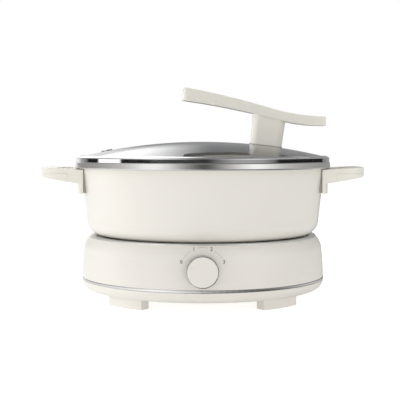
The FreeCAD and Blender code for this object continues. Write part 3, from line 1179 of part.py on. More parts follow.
def make_lid_handle():
    arm, arm_blank = make_lid_arm()
    block_up = post_blank("post_blank", "0", "layout.dome_radius - 6", "layout.post_head")
    shank = on_dome(rod("post_shank_hole", "dims.lid_screw_radius + 0.4", "layout.post_head + 10"),
                    "layout.post_lean")
    insert_low = "(layout.post_head - dims.insert_length)"
    relief = on_dome(ring("post_insert_relief", "0", "dims.insert_radius + 0.1", f"{insert_low} - 0.2",
                          "layout.post_head + 10"), "layout.post_lean")
    cut("lid_post", block_up, dome_ball("post_seat_ball", "layout.post_base"), arm_blank, shank, relief)
    gasket = post_blank("gasket_blank", "0.6", "layout.dome_radius - 6", "layout.dome_radius + 8")
    shell = cut("gasket_shell", dome_ball("gasket_over", "layout.post_base"),
                dome_ball("gasket_under", "layout.dome_radius"))
    gasket_hole = on_dome(rod("gasket_hole", "dims.lid_screw_radius + 0.4", "layout.dome_radius + 10"),
                          "layout.post_lean")
    cut("post_gasket", overlap("gasket_sheet", gasket, shell), gasket_hole)
    on_dome(ring("lid_insert", "dims.lid_screw_radius + 0.02", "dims.insert_radius - 0.02", insert_low,
                 "layout.post_head - 0.3"), "layout.post_lean")
    washer_low = "layout.dome_inner - dims.washer_thickness - 0.1"
    on_dome(ring("lid_washer", "dims.lid_screw_radius + 0.3", "dims.washer_radius", washer_low,
                 "layout.dome_inner - 0.1"), "layout.post_lean")
    head_low = f"{washer_low} - dims.lid_screw_head"
    fixing = turned("lid_screw", [
        ("0", head_low), ("dims.lid_screw_head_radius - 0.4", head_low),
        ("dims.lid_screw_head_radius", washer_low),
        ("dims.lid_screw_radius", washer_low), ("dims.lid_screw_radius", "layout.post_head - 0.4"),
        ("0", "layout.post_head - 0.4")])
    on_dome(fixing, "layout.post_lean")


# ---------------------------------------------------------------------------------------------
# Build, check and write
# ---------------------------------------------------------------------------------------------
NODES = [
    "bottom_cover", "foot_pads", "trim_ring", "upper_housing", "housing_screws", "liner_screws",
    "heat_liner", "heating_plate", "heating_element", "plate_posts", "plate_screws",
    "sensor_guide", "sensor_spring", "sensor_cap", "rotary_control", "control_nut", "control_shaft",
    "knob_cap", "knob_ring", "power_inlet", "inlet_blades", "terminal_block", "thermal_fuse",
    "internal_leads", "pot_shell", "pot_rim", "right_handle", "right_under_grip", "right_bracket",
    "left_handle", "left_under_grip", "left_bracket", "handle_screws", "grip_screws", "lid_glass",
    "lid_band", "steam_vent", "post_gasket", "lid_post", "lid_arm", "lid_insert", "lid_washer",
    "lid_screw",
]


def build_base():
    pads = foot_ring("foot_pads", "dims.pad_inset", "0", "dims.pad_thickness")
    make_bottom_cover(pads)
    make_trim_ring()
    make_upper_housing()
    make_base_screws()
    make_heat_liner()
    make_heating_plate(make_heating_element())
    make_plate_posts()
    make_sensor()
    make_control()
    make_knob()
    make_inlet()
    make_terminal_block()
    make_thermal_fuse()
    make_leads()


def build_pot():
    make_pot_shell()
    make_pot_rim()
    make_handles()


def build_lid():
    make_lid_glass()
    make_lid_band()
    make_steam_vent()
    make_lid_handle()


def check_and_write():
    """Stop if any object failed or any sub-part isn't a sound solid, then write the files."""
    doc.recompute()
    for item in doc.Objects:
        if "Invalid" in item.State or "Error" in item.State:
            raise RuntimeError(f"{item.Label} failed: {item.State}")
    shapes = {}
    for node in NODES:
        item = doc.getObjectsByLabel(node)[0]
        shape = item.Shape
        if shape.isNull() or not shape.isValid() or not shape.Solids or shape.Volume <= 0:
            raise RuntimeError(f"{node} isn't a valid solid")
        shapes[node] = shape
    os.makedirs("parts", exist_ok=True)
    for node, shape in shapes.items():
        shape.exportStep(f"parts/{node}.step")
        box = shape.BoundBox
        print(f"{node:18s} {len(shape.Solids)} solid(s) {shape.Volume / 1000:9.3f} cm3"
              f"  z {box.ZMin:7.2f} to {box.ZMax:7.2f}")


build_base()
build_pot()
build_lid()
check_and_write()
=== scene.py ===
# %% [markdown]
# # An electric hot pot with a lift-off pot and a lift-off glass lid
# The object is a heating base with a dial, a coated pot and a smoked-glass lid with a lever handle.
# Its construction arrives as a fixed frame of named nodes that ride on five bodies: base, knob,
# sensor, pot and lid. This lesson adds what a camera sees: the light, the finishes, rounded
# mouldings, screw heads and the scale round the dial. Units are metres, +Z is up, and the dial
# faces -Y.

# %% Load the frame
import json
from math import atan2, cos, pi, radians, sin, sqrt

import bmesh
import bpy
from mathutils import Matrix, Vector

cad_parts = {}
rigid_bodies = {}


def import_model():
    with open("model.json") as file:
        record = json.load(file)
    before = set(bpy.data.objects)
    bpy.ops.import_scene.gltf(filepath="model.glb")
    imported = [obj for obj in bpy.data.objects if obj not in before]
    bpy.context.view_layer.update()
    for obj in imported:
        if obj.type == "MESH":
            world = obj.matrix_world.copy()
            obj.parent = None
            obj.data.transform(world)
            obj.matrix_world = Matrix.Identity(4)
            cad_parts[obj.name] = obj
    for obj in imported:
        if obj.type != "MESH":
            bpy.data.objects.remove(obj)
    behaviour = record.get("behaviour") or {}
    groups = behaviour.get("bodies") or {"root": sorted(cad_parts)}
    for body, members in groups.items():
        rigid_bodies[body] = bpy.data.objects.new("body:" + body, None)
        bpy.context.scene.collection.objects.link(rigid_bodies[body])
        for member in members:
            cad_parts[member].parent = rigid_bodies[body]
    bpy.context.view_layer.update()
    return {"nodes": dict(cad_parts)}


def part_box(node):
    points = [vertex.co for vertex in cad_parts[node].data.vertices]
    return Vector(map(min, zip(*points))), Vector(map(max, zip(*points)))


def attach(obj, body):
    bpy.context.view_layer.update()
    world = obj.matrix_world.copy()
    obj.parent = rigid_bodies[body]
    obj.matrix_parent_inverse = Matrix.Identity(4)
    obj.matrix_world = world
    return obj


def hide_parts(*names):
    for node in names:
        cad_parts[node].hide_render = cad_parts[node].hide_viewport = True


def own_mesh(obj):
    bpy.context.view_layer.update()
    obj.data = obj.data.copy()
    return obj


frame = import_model()
nodes = frame["nodes"]
MM = 0.001

# %% [markdown]
# ## Small helpers
# Operators act on whatever is selected, so each step first clears the selection and then picks one
# object, or picks verts, edges or faces by their place. The helpers below do that and no more.


# %% Selecting
def only(piece):
    """Select one object alone and make it active."""
    bpy.ops.object.select_all(action="DESELECT")
    piece.hide_set(False)
    piece.select_set(True)
    bpy.context.view_layer.objects.active = piece
    return piece


def added(name):
    """Name the object that an operator has just made."""
    piece = bpy.context.object
    piece.name = piece.data.name = name
    return only(piece)


def pick(kind, wanted):
    """In edit mode, select only the verts, edges or faces that pass a test."""
    mesh = bmesh.from_edit_mesh(bpy.context.object.data)
    bpy.ops.mesh.select_all(action="DESELECT")
    bpy.ops.mesh.select_mode(type=kind)
    elements = {"VERT": mesh.verts, "EDGE": mesh.edges, "FACE": mesh.faces}[kind]
    for element in elements:
        if wanted(element):
            element.select_set(True)
    bmesh.update_edit_mesh(bpy.context.object.data)


def edit(piece):
    """Go into edit mode on one object."""
    only(piece)
    bpy.ops.object.mode_set(mode="EDIT")


def done():
    """Leave edit mode."""
    bpy.ops.object.mode_set(mode="OBJECT")


# %% [markdown]
# A modelled piece ends in the same way each time. Its modifiers become plain mesh, its place and
# turn move into the mesh, and shallow edges are shaded smooth while real corners stay crisp. It
# then takes a material, the body that carries it, and the nodes that it stands for.

# %% Finishing a piece
def apply_modifiers(piece):
    """Turn every modifier on the piece into plain mesh."""
    only(piece)
    for modifier in list(piece.modifiers):
        bpy.ops.object.modifier_apply(modifier=modifier.name)
    return piece


def settle(piece, smooth_below=35):
    """Move the place, turn and size into the mesh, and shade smoothly across shallow edges."""
    only(piece)
    bpy.ops.object.transform_apply(location=True, rotation=True, scale=True)
    bpy.ops.object.shade_smooth_by_angle(angle=radians(smooth_below))
    weighted = piece.modifiers.new("Flat_faces_stay_flat", "WEIGHTED_NORMAL")
    weighted.weight = 100
    weighted.keep_sharp = True
    return apply_modifiers(piece)


def fit(piece, body, slot, material, *stands_for):
    """Give a new piece its material, the body that carries it and the nodes that it replaces."""
    piece.data.materials.clear()
    piece.data.materials.append(material)
    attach(piece, body)
    if stands_for:
        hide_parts(*stands_for)
    return piece


# %% [markdown]
# ## Camera
# A long lens held level, just above the pot's rim, keeps every upright upright. Tilting it down
# would frame the pot too, but its sides would lean. The frame is shifted down instead, as on a
# view camera, so that the whole pot sits in it.

# %% Camera
IMAGE_PIXELS = 400
FOCAL_PIXELS = 980
AXIS_PIXEL_X, AXIS_PIXEL_Y = 202.7, 147.0
CAMERA_DISTANCE, CAMERA_HEIGHT = 1.084, 0.1645
SENSOR_MM = 36.0

bpy.ops.object.camera_add(location=(0, -CAMERA_DISTANCE, CAMERA_HEIGHT), rotation=(pi / 2, 0, 0))
camera = bpy.context.object
camera.data.sensor_width = SENSOR_MM
camera.data.lens = SENSOR_MM * FOCAL_PIXELS / IMAGE_PIXELS
camera.data.shift_x = 0.5 - AXIS_PIXEL_X / IMAGE_PIXELS
camera.data.shift_y = AXIS_PIXEL_Y / IMAGE_PIXELS - 0.5
camera.data.clip_start = 50 * MM
bpy.context.scene.camera = camera
bpy.context.scene.view_settings.view_transform = "Standard"
print(f"lens {camera.data.lens:.1f} mm, shift {camera.data.shift_x:.4f}, {camera.data.shift_y:.4f}")


# %% [markdown]
# ## Nodes for materials
# One function adds a shader node with its settings, and fills or links its inputs. Colours are
# written as the hex values a painter would name and are turned to linear light once, here. Nearly
# every real finish varies a little from place to place in colour, gloss and height, so one more
# function steers those three by patterns. A picture could be wrapped round each piece instead, but
# it would need a seam and would stretch. Patterns that fill space need neither.

# %% Node and colour helpers
def linear(code):
    """An sRGB hex colour such as 'E4E0D8' as linear RGBA."""
    parts = [int(code[i:i + 2], 16) / 255 for i in (0, 2, 4)]
    return tuple(p / 12.92 if p <= 0.04045 else ((p + 0.055) / 1.055) ** 2.4 for p in parts) + (1.0,)


def add_node(tree, kind, inputs=None, **settings):
    """Add one node, set its properties, and fill each input with a value or a link."""
    item = tree.nodes.new(kind)
    for name, value in settings.items():
        setattr(item, name, value)
    for key, value in (inputs or {}).items():
        if isinstance(value, bpy.types.NodeSocket):
            tree.links.new(value, item.inputs[key])
        else:
            item.inputs[key].default_value = value
    return item


def new_surface(name, colour, roughness, metallic=0.0, **sockets):
    """A material with a Principled shader; returns it with its tree, shader and place on the piece."""
    material = bpy.data.materials.new(name)
    material.use_nodes = True
    tree = material.node_tree
    shader = tree.nodes["Principled BSDF"]
    shader.inputs["Base Color"].default_value = linear(colour)
    shader.inputs["Roughness"].default_value = roughness
    shader.inputs["Metallic"].default_value = metallic
    material.diffuse_color = linear(colour)
    for key, value in sockets.items():
        shader.inputs[key.replace("_", " ")].default_value = value
    place = add_node(tree, "ShaderNodeTexCoord").outputs["Object"]
    return material, tree, shader, place


def vary(tree, shader, colour=None, gloss=None, height=None):
    """Steer a finish: colour by (pattern, hex, hex), gloss by (pattern, roughness, roughness) and
    height by (pattern, depth in metres)."""
    if colour:
        pattern, first, second = colour
        mix = add_node(tree, "ShaderNodeMix", {0: pattern, 6: linear(first), 7: linear(second)},
                       data_type="RGBA")
        tree.links.new(mix.outputs[2], shader.inputs["Base Color"])
    if gloss:
        # Noise seldom leaves the span from 0.3 to 0.7, so that span covers the whole change.
        pattern, low, high = gloss
        rough = add_node(tree, "ShaderNodeMapRange", {
            "Value": pattern, "From Min": 0.3, "From Max": 0.7, "To Min": low, "To Max": high})
        tree.links.new(rough.outputs["Result"], shader.inputs["Roughness"])
    if height:
        pattern, depth = height
        bump = add_node(tree, "ShaderNodeBump", {"Height": pattern, "Distance": depth})
        tree.links.new(bump.outputs["Normal"], shader.inputs["Normal"])


# %% [markdown]
# ## Coated pot
# The pot is die-cast aluminium. A ceramic coating is sprayed on and baked, which leaves a satin
# skin that is very slightly wavy, like fine orange peel, about two millimetres from wave to wave.
# A thin clear coat over a satin base gives the eye that soft double highlight. Inside is a dark
# grey non-stick coat with pale flecks about half a millimetre wide, which a pattern of scattered
# points draws.

# %% Coatings on cast aluminium
def ceramic_coating():
    """Satin under a thin clear coat: a soft highlight with a sharper one in it."""
    material, tree, shader, place = new_surface(
        "Ceramic_coating_cream", "E9E5DD", 0.34, Coat_Weight=0.35, Coat_Roughness=0.12)
    tone = add_node(tree, "ShaderNodeTexNoise", {"Vector": place, "Scale": 1 / (45 * MM)})
    sheen = add_node(tree, "ShaderNodeTexNoise", {"Vector": place, "Scale": 1 / (20 * MM)})
    peel = add_node(tree, "ShaderNodeTexNoise", {"Vector": place, "Scale": 1 / (2 * MM), "Detail": 1})
    vary(tree, shader, (tone.outputs["Fac"], "EAE6DE", "E7E3DB"), (sheen.outputs["Fac"], 0.31, 0.37),
         (peel.outputs["Fac"], 0.02 * MM))
    return material


def non_stick_coating():
    """Dark and rather dull, with pale flecks."""
    material, tree, shader, place = new_surface("Non_stick_coating_flecked", "3B3A39", 0.4)
    spacing = 1.6 * MM
    # Within 0.16 of the spacing from a point makes a fleck half a millimetre wide.
    reach = 0.16
    points = add_node(tree, "ShaderNodeTexVoronoi", {"Vector": place, "Scale": 1 / spacing})
    fleck = add_node(tree, "ShaderNodeMath", {0: points.outputs["Distance"], 1: reach},
                     operation="LESS_THAN")
    spray = add_node(tree, "ShaderNodeTexNoise", {"Vector": place, "Scale": 1 / (1.5 * MM)})
    vary(tree, shader, (fleck.outputs["Value"], "3B3A39", "9A9894"),
         height=(spray.outputs["Fac"], 0.02 * MM))
    return material


ceramic = ceramic_coating()
non_stick = non_stick_coating()
print(f"coatings: {ceramic.name}, {non_stick.name}")


# %% [markdown]
# ## Moulded plastics
# The base's two shells and the knob are ABS from a polished mould: an even satin with a faint
# flow. The pot's handles and the lid's handle are a tougher heat-proof plastic from a
# spark-eroded mould, whose grain makes them a little more matt. It is drawn about half a
# millimetre wide, coarser than the real one, so that it shows. Paint, rubber, fired ceramic and
# printed ink have the same three traits, so one recipe with other values serves them all.

# %% Moulded and painted surfaces
def moulded(name, colour, shade, roughness, grain, grain_depth):
    """A surface with a slow change of colour, a slight change of gloss and a fine grain."""
    material, tree, shader, place = new_surface(name, colour, roughness)
    flow = add_node(tree, "ShaderNodeTexNoise", {"Vector": place, "Scale": 1 / (50 * MM)})
    sheen = add_node(tree, "ShaderNodeTexNoise", {"Vector": place, "Scale": 1 / (6 * MM)})
    skin = add_node(tree, "ShaderNodeTexNoise", {"Vector": place, "Scale": 1 / grain, "Detail": 3})
    vary(tree, shader, (flow.outputs["Fac"], colour, shade),
         (sheen.outputs["Fac"], roughness - 0.03, roughness + 0.03),
         (skin.outputs["Fac"], grain_depth))
    return material


# Polished mould: an even satin with a soft, wide highlight.
housing_abs = moulded("Moulded_ABS_cream", "E9E5DE", "E6E2DA", 0.36, 1.5 * MM, 0.012 * MM)
# Spark-eroded mould: a touch lighter, warmer and more matt.
handle_plastic = moulded("Spark_grained_PBT_cream", "EFEBE1", "ECE8DE", 0.38, 0.6 * MM, 0.02 * MM)
# Glass fibres near the skin: black with faint grey clouds.
nylon = moulded("Glass_filled_nylon_black", "1B1B1C", "242425", 0.45, 0.8 * MM, 0.02 * MM)
# Fired and left unglazed: pale and chalky.
terminal_ceramic = moulded("Steatite_ceramic", "DCD6C8", "D3CCBB", 0.5, 0.7 * MM, 0.03 * MM)
# Powder paint, baked on: a flat grey with a faint pebble. The grey is partly painted shade
# for the gap between each handle's mount and the pot's wall.
bracket_paint_and_shade = moulded("Painted_steel_grey_and_shade", "A9A59D", "A19D95", 0.5, 1.2 * MM, 0.03 * MM)
# Pressed rubber: dark, with hardly a highlight.
pad_rubber = moulded("Natural_rubber_grey", "3A3A3A", "444443", 0.75, 0.7 * MM, 0.04 * MM)
# A film of ink: flat and even.
scale_ink = moulded("Printed_ink_grey", "5C5955", "65615D", 0.5, 0.5 * MM, 0.004 * MM)
print(f"satin and matt surfaces: {housing_abs.name} to {scale_ink.name}")


# %% [markdown]
# ## Polished steel and faced aluminium
# The rim, the lid's band and the trim ring are polished stainless steel. Polishing wheels run
# round them, so what little grain they have follows the circle, and the heating plate was faced on
# a lathe, which leaves rings. An anisotropic shader could smear the light across the grain, but it
# shows no single line. The pattern is read in polar coordinates instead, where plain noise turns
# into lines. Real polishing lines are finer than a tenth of a millimetre. These are drawn half a
# millimetre wide, because finer ones wouldn't show.

# %% Metals with lines round the axis
ARC_PER_RADIAN = 4 * MM


def round_axis(tree, place):
    """Split a place into its distance from the pot's axis, its angle about it, and its height."""
    parts = add_node(tree, "ShaderNodeSeparateXYZ", {"Vector": place})
    across, along, up = (parts.outputs[key] for key in "XYZ")
    flat = add_node(tree, "ShaderNodeCombineXYZ", {"X": across, "Y": along})
    radius = add_node(tree, "ShaderNodeVectorMath", {0: flat.outputs["Vector"]}, operation="LENGTH")
    angle = add_node(tree, "ShaderNodeMath", {0: along, 1: across}, operation="ARCTAN2")
    return radius.outputs["Value"], angle.outputs["Value"], up


def spun_metal(name, colour, tint, roughness, line, depth):
    """A metal whose fine lines run round the pot's axis.

    A radian counts as only 4 mm of pattern, so a line half a millimetre wide runs on for an eighth
    of a radian.
    """
    material, tree, shader, place = new_surface(name, colour, roughness, metallic=1.0)
    radius, angle, up = round_axis(tree, place)
    around = add_node(tree, "ShaderNodeMath", {0: angle, 1: ARC_PER_RADIAN}, operation="MULTIPLY")
    unrolled = add_node(tree, "ShaderNodeCombineXYZ", {"X": radius, "Y": around.outputs["Value"], "Z": up})
    lines = add_node(tree, "ShaderNodeTexNoise", {
        "Vector": unrolled.outputs["Vector"], "Scale": 1 / line, "Detail": 3}).outputs["Fac"]
    vary(tree, shader, (lines, colour, tint), (lines, roughness * 0.8, roughness * 1.3), (lines, depth))
    return material


# Satin polish: stripes of reflection with soft edges.
rim_steel = spun_metal("Stainless_steel_satin_polished", "CFCECC", "CCCBC9", 0.14, 0.5 * MM, 0.001 * MM)
# Mirror polish: the same stripes with hard edges.
band_steel = spun_metal("Stainless_steel_mirror_polished", "CECECE", "CCCCCC", 0.05, 0.5 * MM, 0.0005 * MM)
# Satin polish, a little duller: a quiet line round the base.
trim_steel = spun_metal("Stainless_steel_trim", "CECECD", "CBCBCA", 0.16, 0.5 * MM, 0.001 * MM)
# Faced on a lathe: fine rings that catch the light.
faced_aluminium = spun_metal("Cast_aluminium_faced", "A9A9A8", "999998", 0.34, 0.9 * MM, 0.02 * MM)
print(f"metals with lines: {rim_steel.name} to {faced_aluminium.name}")


# %% [markdown]
# ## Sheet, wire, turned parts and brass
# These metals are pressed, drawn or turned, and then dipped, plated or left bare. The eye tells
# them apart by their colour and by the size of their clouds. Each could have a recipe of its own,
# but two layers of noise serve them all: large clouds change colour and gloss, and a finer relief
# breaks up the highlights.

# %% Metals with a cloudy skin
def plain_metal(name, colour, tint, roughness, patch, depth):
    """A metal with a cloudy skin and a relief four times as fine as its clouds."""
    material, tree, shader, place = new_surface(name, colour, roughness, metallic=1.0)
    cloud = add_node(tree, "ShaderNodeTexNoise", {
        "Vector": place, "Scale": 1 / patch, "Detail": 4}).outputs["Fac"]
    skin = add_node(tree, "ShaderNodeTexNoise", {"Vector": place, "Scale": 1 / (patch / 4)})
    vary(tree, shader, (cloud, colour, tint), (cloud, roughness * 0.8, roughness * 1.25),
         (skin.outputs["Fac"], depth))
    return material


# Sheet dipped in molten aluminium: pale, with clouds nearly a centimetre across.
pressed_steel = plain_metal("Aluminised_steel_sheet", "E6E6E4", "DCDCDA", 0.42, 9 * MM, 0.004 * MM)
# Heated in air again and again: brown, dull and blotchy.
sheath_steel = plain_metal("Oxidised_element_sheath", "5B534B", "6F6A64", 0.42, 5 * MM, 0.02 * MM)
# Zinc plate: bluish, with small clouds of a warmer grey.
zinc_steel = plain_metal("Zinc_plated_steel", "B9BABD", "A9A8A2", 0.26, 2 * MM, 0.003 * MM)
# Drawn wire: smooth and grey.
spring_steel = plain_metal("Stainless_spring_wire", "B6B5B2", "A6A5A2", 0.22, 1 * MM, 0.002 * MM)
# Turned from bar: smooth, grey and softly shiny.
turned_steel = plain_metal("Stainless_steel_turned", "B0B0AF", "A6A6A5", 0.18, 2 * MM, 0.002 * MM)
# Rolled strip: yellow and softly shiny.
brass = plain_metal("Rolled_brass", "C9A75E", "BD9A52", 0.25, 2 * MM, 0.003 * MM)
print(f"cloudy metals: {pressed_steel.name} to {brass.name}")


# %% [markdown]
# ## Smoked glass, silicone and wire sleeve
# The lid is soda-lime glass, coloured grey in the melt and toughened, so it is smooth, dark and
# mirror-like at a low angle. The seal under the post is clear silicone. The wires inside wear a
# woven glass-fibre sleeve, with threads three quarters of a millimetre wide. They could be
# modelled one by one, but few people ever see these wires, so waves that run across them at a
# slant draw the threads.

# %% Glass, silicone and woven sleeve
def smoked_glass():
    """Smooth and dark, with sharp highlights."""
    material, tree, shader, place = new_surface(
        "Toughened_glass_smoked", "6E7073", 0.02, IOR=1.52, Transmission_Weight=1.0)
    sheen = add_node(tree, "ShaderNodeTexNoise", {"Vector": place, "Scale": 1 / (30 * MM)})
    wave = add_node(tree, "ShaderNodeTexNoise", {"Vector": place, "Scale": 1 / (60 * MM), "Detail": 1})
    vary(tree, shader, gloss=(sheen.outputs["Fac"], 0.01, 0.03), height=(wave.outputs["Fac"], 0.02 * MM))
    return material


def clear_silicone():
    """Milky, because only part of the light goes through."""
    material, tree, shader, place = new_surface(
        "Silicone_clear", "CFCDC7", 0.38, Transmission_Weight=0.35, IOR=1.42)
    skin = add_node(tree, "ShaderNodeTexNoise", {"Vector": place, "Scale": 1 / (1.5 * MM)})
    vary(tree, shader, height=(skin.outputs["Fac"], 0.01 * MM))
    return material


def woven_sleeve():
    """Pale and dull, with slanting threads."""
    material, tree, shader, place = new_surface("Glass_fibre_sleeve", "D8D3C6", 0.65)
    thread = 0.75 * MM
    # At scale 1 the diagonal bands repeat every 2 pi / (10 sqrt 3) metres.
    weave = add_node(tree, "ShaderNodeTexWave", {
        "Vector": place, "Scale": 2 * pi / (10 * sqrt(3)) / thread, "Distortion": 1.2},
        wave_type="BANDS", bands_direction="DIAGONAL").outputs["Fac"]
    vary(tree, shader, (weave, "DCD7CB", "C5BFB0"), height=(weave, 0.08 * MM))
    return material


glass = smoked_glass()
silicone = clear_silicone()
sleeve = woven_sleeve()
print(f"clear and woven: {glass.name}, {silicone.name}, {sleeve.name}")

# %% [markdown]
# ## Dressing the frame
# Most of the construction has its true shape already. Modelling it again would only add faults, so
# each such node keeps its mesh and only takes its finish, listed here by finish so that like parts
# match.

# %% Assign the finishes
FINISHES = {
    ceramic: ["pot_shell"],
    housing_abs: ["bottom_cover", "upper_housing", "knob_cap"],
    handle_plastic: ["lid_post", "right_handle", "left_handle", "right_under_grip", "left_under_grip",
                     "lid_arm"],
    nylon: ["rotary_control", "power_inlet"],
    terminal_ceramic: ["terminal_block"],
    # The brackets' grey is partly painted shade, in the gap beside each handle's mount.
    bracket_paint_and_shade: ["right_bracket", "left_bracket"],
    pad_rubber: ["foot_pads"],
    rim_steel: ["pot_rim"],
    band_steel: ["lid_band", "steam_vent"],
    trim_steel: ["trim_ring"],
    turned_steel: ["knob_ring"],
    faced_aluminium: ["heating_plate", "sensor_cap"],
    pressed_steel: ["heat_liner", "sensor_guide"],
    sheath_steel: ["heating_element"],
    zinc_steel: ["housing_screws", "liner_screws", "plate_posts", "plate_screws", "control_nut",
                 "control_shaft", "thermal_fuse", "handle_screws", "grip_screws", "lid_washer",
                 "lid_screw"],
    spring_steel: ["sensor_spring"],
    brass: ["inlet_blades", "lid_insert"],
    silicone: ["post_gasket"],
    glass: ["lid_glass"],
    sleeve: ["internal_leads"],
}
for material, names in FINISHES.items():
    for name in names:
        nodes[name].data.materials.clear()
        nodes[name].data.materials.append(material)
print(f"{sum(len(names) for names in FINISHES.values())} of {len(nodes)} nodes dressed")

# %% [markdown]
# The pot is one casting with a different coat on each side. It could be cut in two, but a cut
# would leave a seam. One mesh may hold two materials instead: the faces that look in at the axis,
# and those of the floor, take the second.

# %% Give the pot's inner faces their own coating
NON_STICK = 1
FACES_IN, FACES_UP = -0.05, 0.3
FLOOR_BELOW = 100 * MM

shell = nodes["pot_shell"]
shell.data.materials.append(non_stick)
for face in shell.data.polygons:
    outwards = Vector((face.center.x, face.center.y, 0))
    looks_in = face.normal.dot(outwards) < FACES_IN * outwards.length
    is_floor = face.normal.z > FACES_UP and face.center.z < FLOOR_BELOW
    if looks_in or is_floor:
        face.material_index = NON_STICK
inner = sum(face.material_index == NON_STICK for face in shell.data.polygons)
print(f"{inner} of {len(shell.data.polygons)} faces of the pot are non-stick")


# %% [markdown]
# ## Rounded mouldings
# A mould can't make a sharp edge and a hand wouldn't want one. Each edge could be rounded by hand,
# but one bevel that takes every edge sharper than a given angle does it with one radius. A copy of
# the node is welded and its flat faces are merged first, because loose triangles have no corners
# to round. The radius is what a mould-maker would cut: 1.6 mm on the lid's arm, 1.1 mm on the side
# handles, and only a third of a millimetre where two parts meet.

# %% Round the edges of a moulding
WELD_GAP = 0.002 * MM
FLAT_WITHIN = 0.3
ARM_ROUNDING, GRIP_ROUNDING, JOINT_ROUNDING = 1.6 * MM, 1.1 * MM, 0.35 * MM


def welded(node, name):
    """A free copy of a node, with the corners that its faces share joined up."""
    only(nodes[node])
    bpy.ops.object.duplicate()
    piece = added(name)
    for key in list(piece.keys()):
        del piece[key]
    bpy.ops.object.parent_clear(type="CLEAR_KEEP_TRANSFORM")
    if piece.data.has_custom_normals:
        bpy.ops.mesh.customdata_custom_splitnormals_clear()
    edit(piece)
    bpy.ops.mesh.select_all(action="SELECT")
    bpy.ops.mesh.remove_doubles(threshold=WELD_GAP)
    done()
    return piece


def rounded(node, name, radius, material, slot, body, segments=4, sharp=32):
    """A welded copy of a node with its sharp edges rounded, which then stands for the node."""
    piece = welded(node, name)
    edit(piece)
    bpy.ops.mesh.select_all(action="SELECT")
    bpy.ops.mesh.dissolve_limited(angle_limit=radians(FLAT_WITHIN))
    done()
    bevel = piece.modifiers.new("Rounding", "BEVEL")
    bevel.width = radius
    bevel.segments = segments
    bevel.limit_method = "ANGLE"
    bevel.angle_limit = radians(sharp)
    bevel.miter_outer = "MITER_ARC"
    bevel.use_clamp_overlap = True
    apply_modifiers(piece)
    settle(piece, smooth_below=28)
    print(f"{name}: {len(piece.data.polygons)} faces")
    return fit(piece, body, slot, material, node)


rounded("lid_arm", "lever_arm", ARM_ROUNDING, handle_plastic, "handle_plastic", "lid")
for side in ("left", "right"):
    rounded(f"{side}_handle", f"{side}_grip_body", GRIP_ROUNDING, handle_plastic, "handle_plastic", "pot")
    rounded(f"{side}_under_grip", f"{side}_grip_cover", JOINT_ROUNDING, handle_plastic, "handle_plastic",
            "pot")
rounded("knob_cap", "dial_cap", JOINT_ROUNDING, housing_abs, "housing_plastic", "knob")


# %% [markdown]
# ## Sensor spring
# The coil under the sensor stands on the floor of its guide, and only its top goes down with the
# cap. If it simply moved with the cap, its foot would sink into the guide. So it rides on the base.

coil = settle(welded("sensor_spring", "cap_spring"))
fit(coil, "base", "spring_steel", spring_steel, "sensor_spring")
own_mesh(coil)


# %% [markdown]
# ## Scale round the dial
# Four plain numbers are pad-printed on the dished wall round the knob, with thin arcs between
# them. A picture of them could be laid over the wall, but shapes stay sharp at any distance. They
# are modelled flat, set in front of the wall and then pressed onto it along the line of sight, as
# the printing pad would press them, and given the thickness of an ink film.

# %% Press a shape onto the wall
DIAL_HEIGHT = (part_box("knob_ring")[0].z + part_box("knob_ring")[1].z) / 2
CLEARANCE = 2 * MM
IN_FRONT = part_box("upper_housing")[0].y - CLEARANCE
INK_STANDOFF = 0.06 * MM
INK_THICKNESS = 0.03 * MM


def press_on(piece, spot, turn=0):
    """Stand a flat piece up in front of the wall, lay it on the wall and make it as thick as ink."""
    only(piece)
    piece.location = spot
    piece.rotation_euler = (pi / 2, turn, 0)
    bpy.ops.object.transform_apply(location=True, rotation=True, scale=True)
    wrap = piece.modifiers.new("Press", "SHRINKWRAP")
    wrap.target = nodes["upper_housing"]
    wrap.wrap_method = "PROJECT"
    wrap.use_project_x = wrap.use_project_z = False
    wrap.use_project_y = wrap.use_positive_direction = True
    wrap.use_negative_direction = False
    wrap.offset = INK_STANDOFF
    film = piece.modifiers.new("Film", "SOLIDIFY")
    film.thickness = INK_THICKNESS
    film.offset = 1.0
    apply_modifiers(piece)
    edit(piece)
    pick("FACE", lambda face: True)
    bpy.ops.mesh.normals_make_consistent(inside=False)
    done()
    fit(piece, "base", "housing_plastic", scale_ink)


# %% [markdown]
# A number starts as text and becomes a mesh. The wall curves, so the number's faces are divided
# until they are small enough to follow it.

# %% Print the numbers
SCALE_RADIUS = 22.6 * MM
MARK_ANGLES = (157.5, 112.5, 67.5, 22.5)
DIGIT_SIZE = 4.9 * MM
DIGIT_BOLDNESS = 0.07 * MM
SAME_POINT = 0.001 * MM

for number, degrees in enumerate(MARK_ANGLES):
    bpy.ops.object.text_add()
    text = bpy.context.object.data
    text.body = str(number)
    text.size, text.offset = DIGIT_SIZE, DIGIT_BOLDNESS
    text.align_x = text.align_y = "CENTER"
    bpy.ops.object.convert(target="MESH")
    digit = added(f"scale_number_{number}")
    edit(digit)
    pick("VERT", lambda vert: True)
    bpy.ops.mesh.remove_doubles(threshold=SAME_POINT)
    bpy.ops.mesh.quads_convert_to_tris()
    bpy.ops.mesh.subdivide(number_cuts=3)
    done()
    press_on(digit, (SCALE_RADIUS * cos(radians(degrees)), IN_FRONT,
                     DIAL_HEIGHT + SCALE_RADIUS * sin(radians(degrees))))
print(f"scale: numbers 0 to {len(MARK_ANGLES) - 1}")

# %% [markdown]
# An arc is a slice of a thin ring: a circle is extruded, the new edge is widened, and the faces
# outside the slice are deleted. The other arcs are copies, turned by the angle between two marks.

# %% Print the arcs
ARC_GAP = 9.5
ARC_WIDTH = 0.16 * MM
MARK_STEP = MARK_ANGLES[0] - MARK_ANGLES[1]

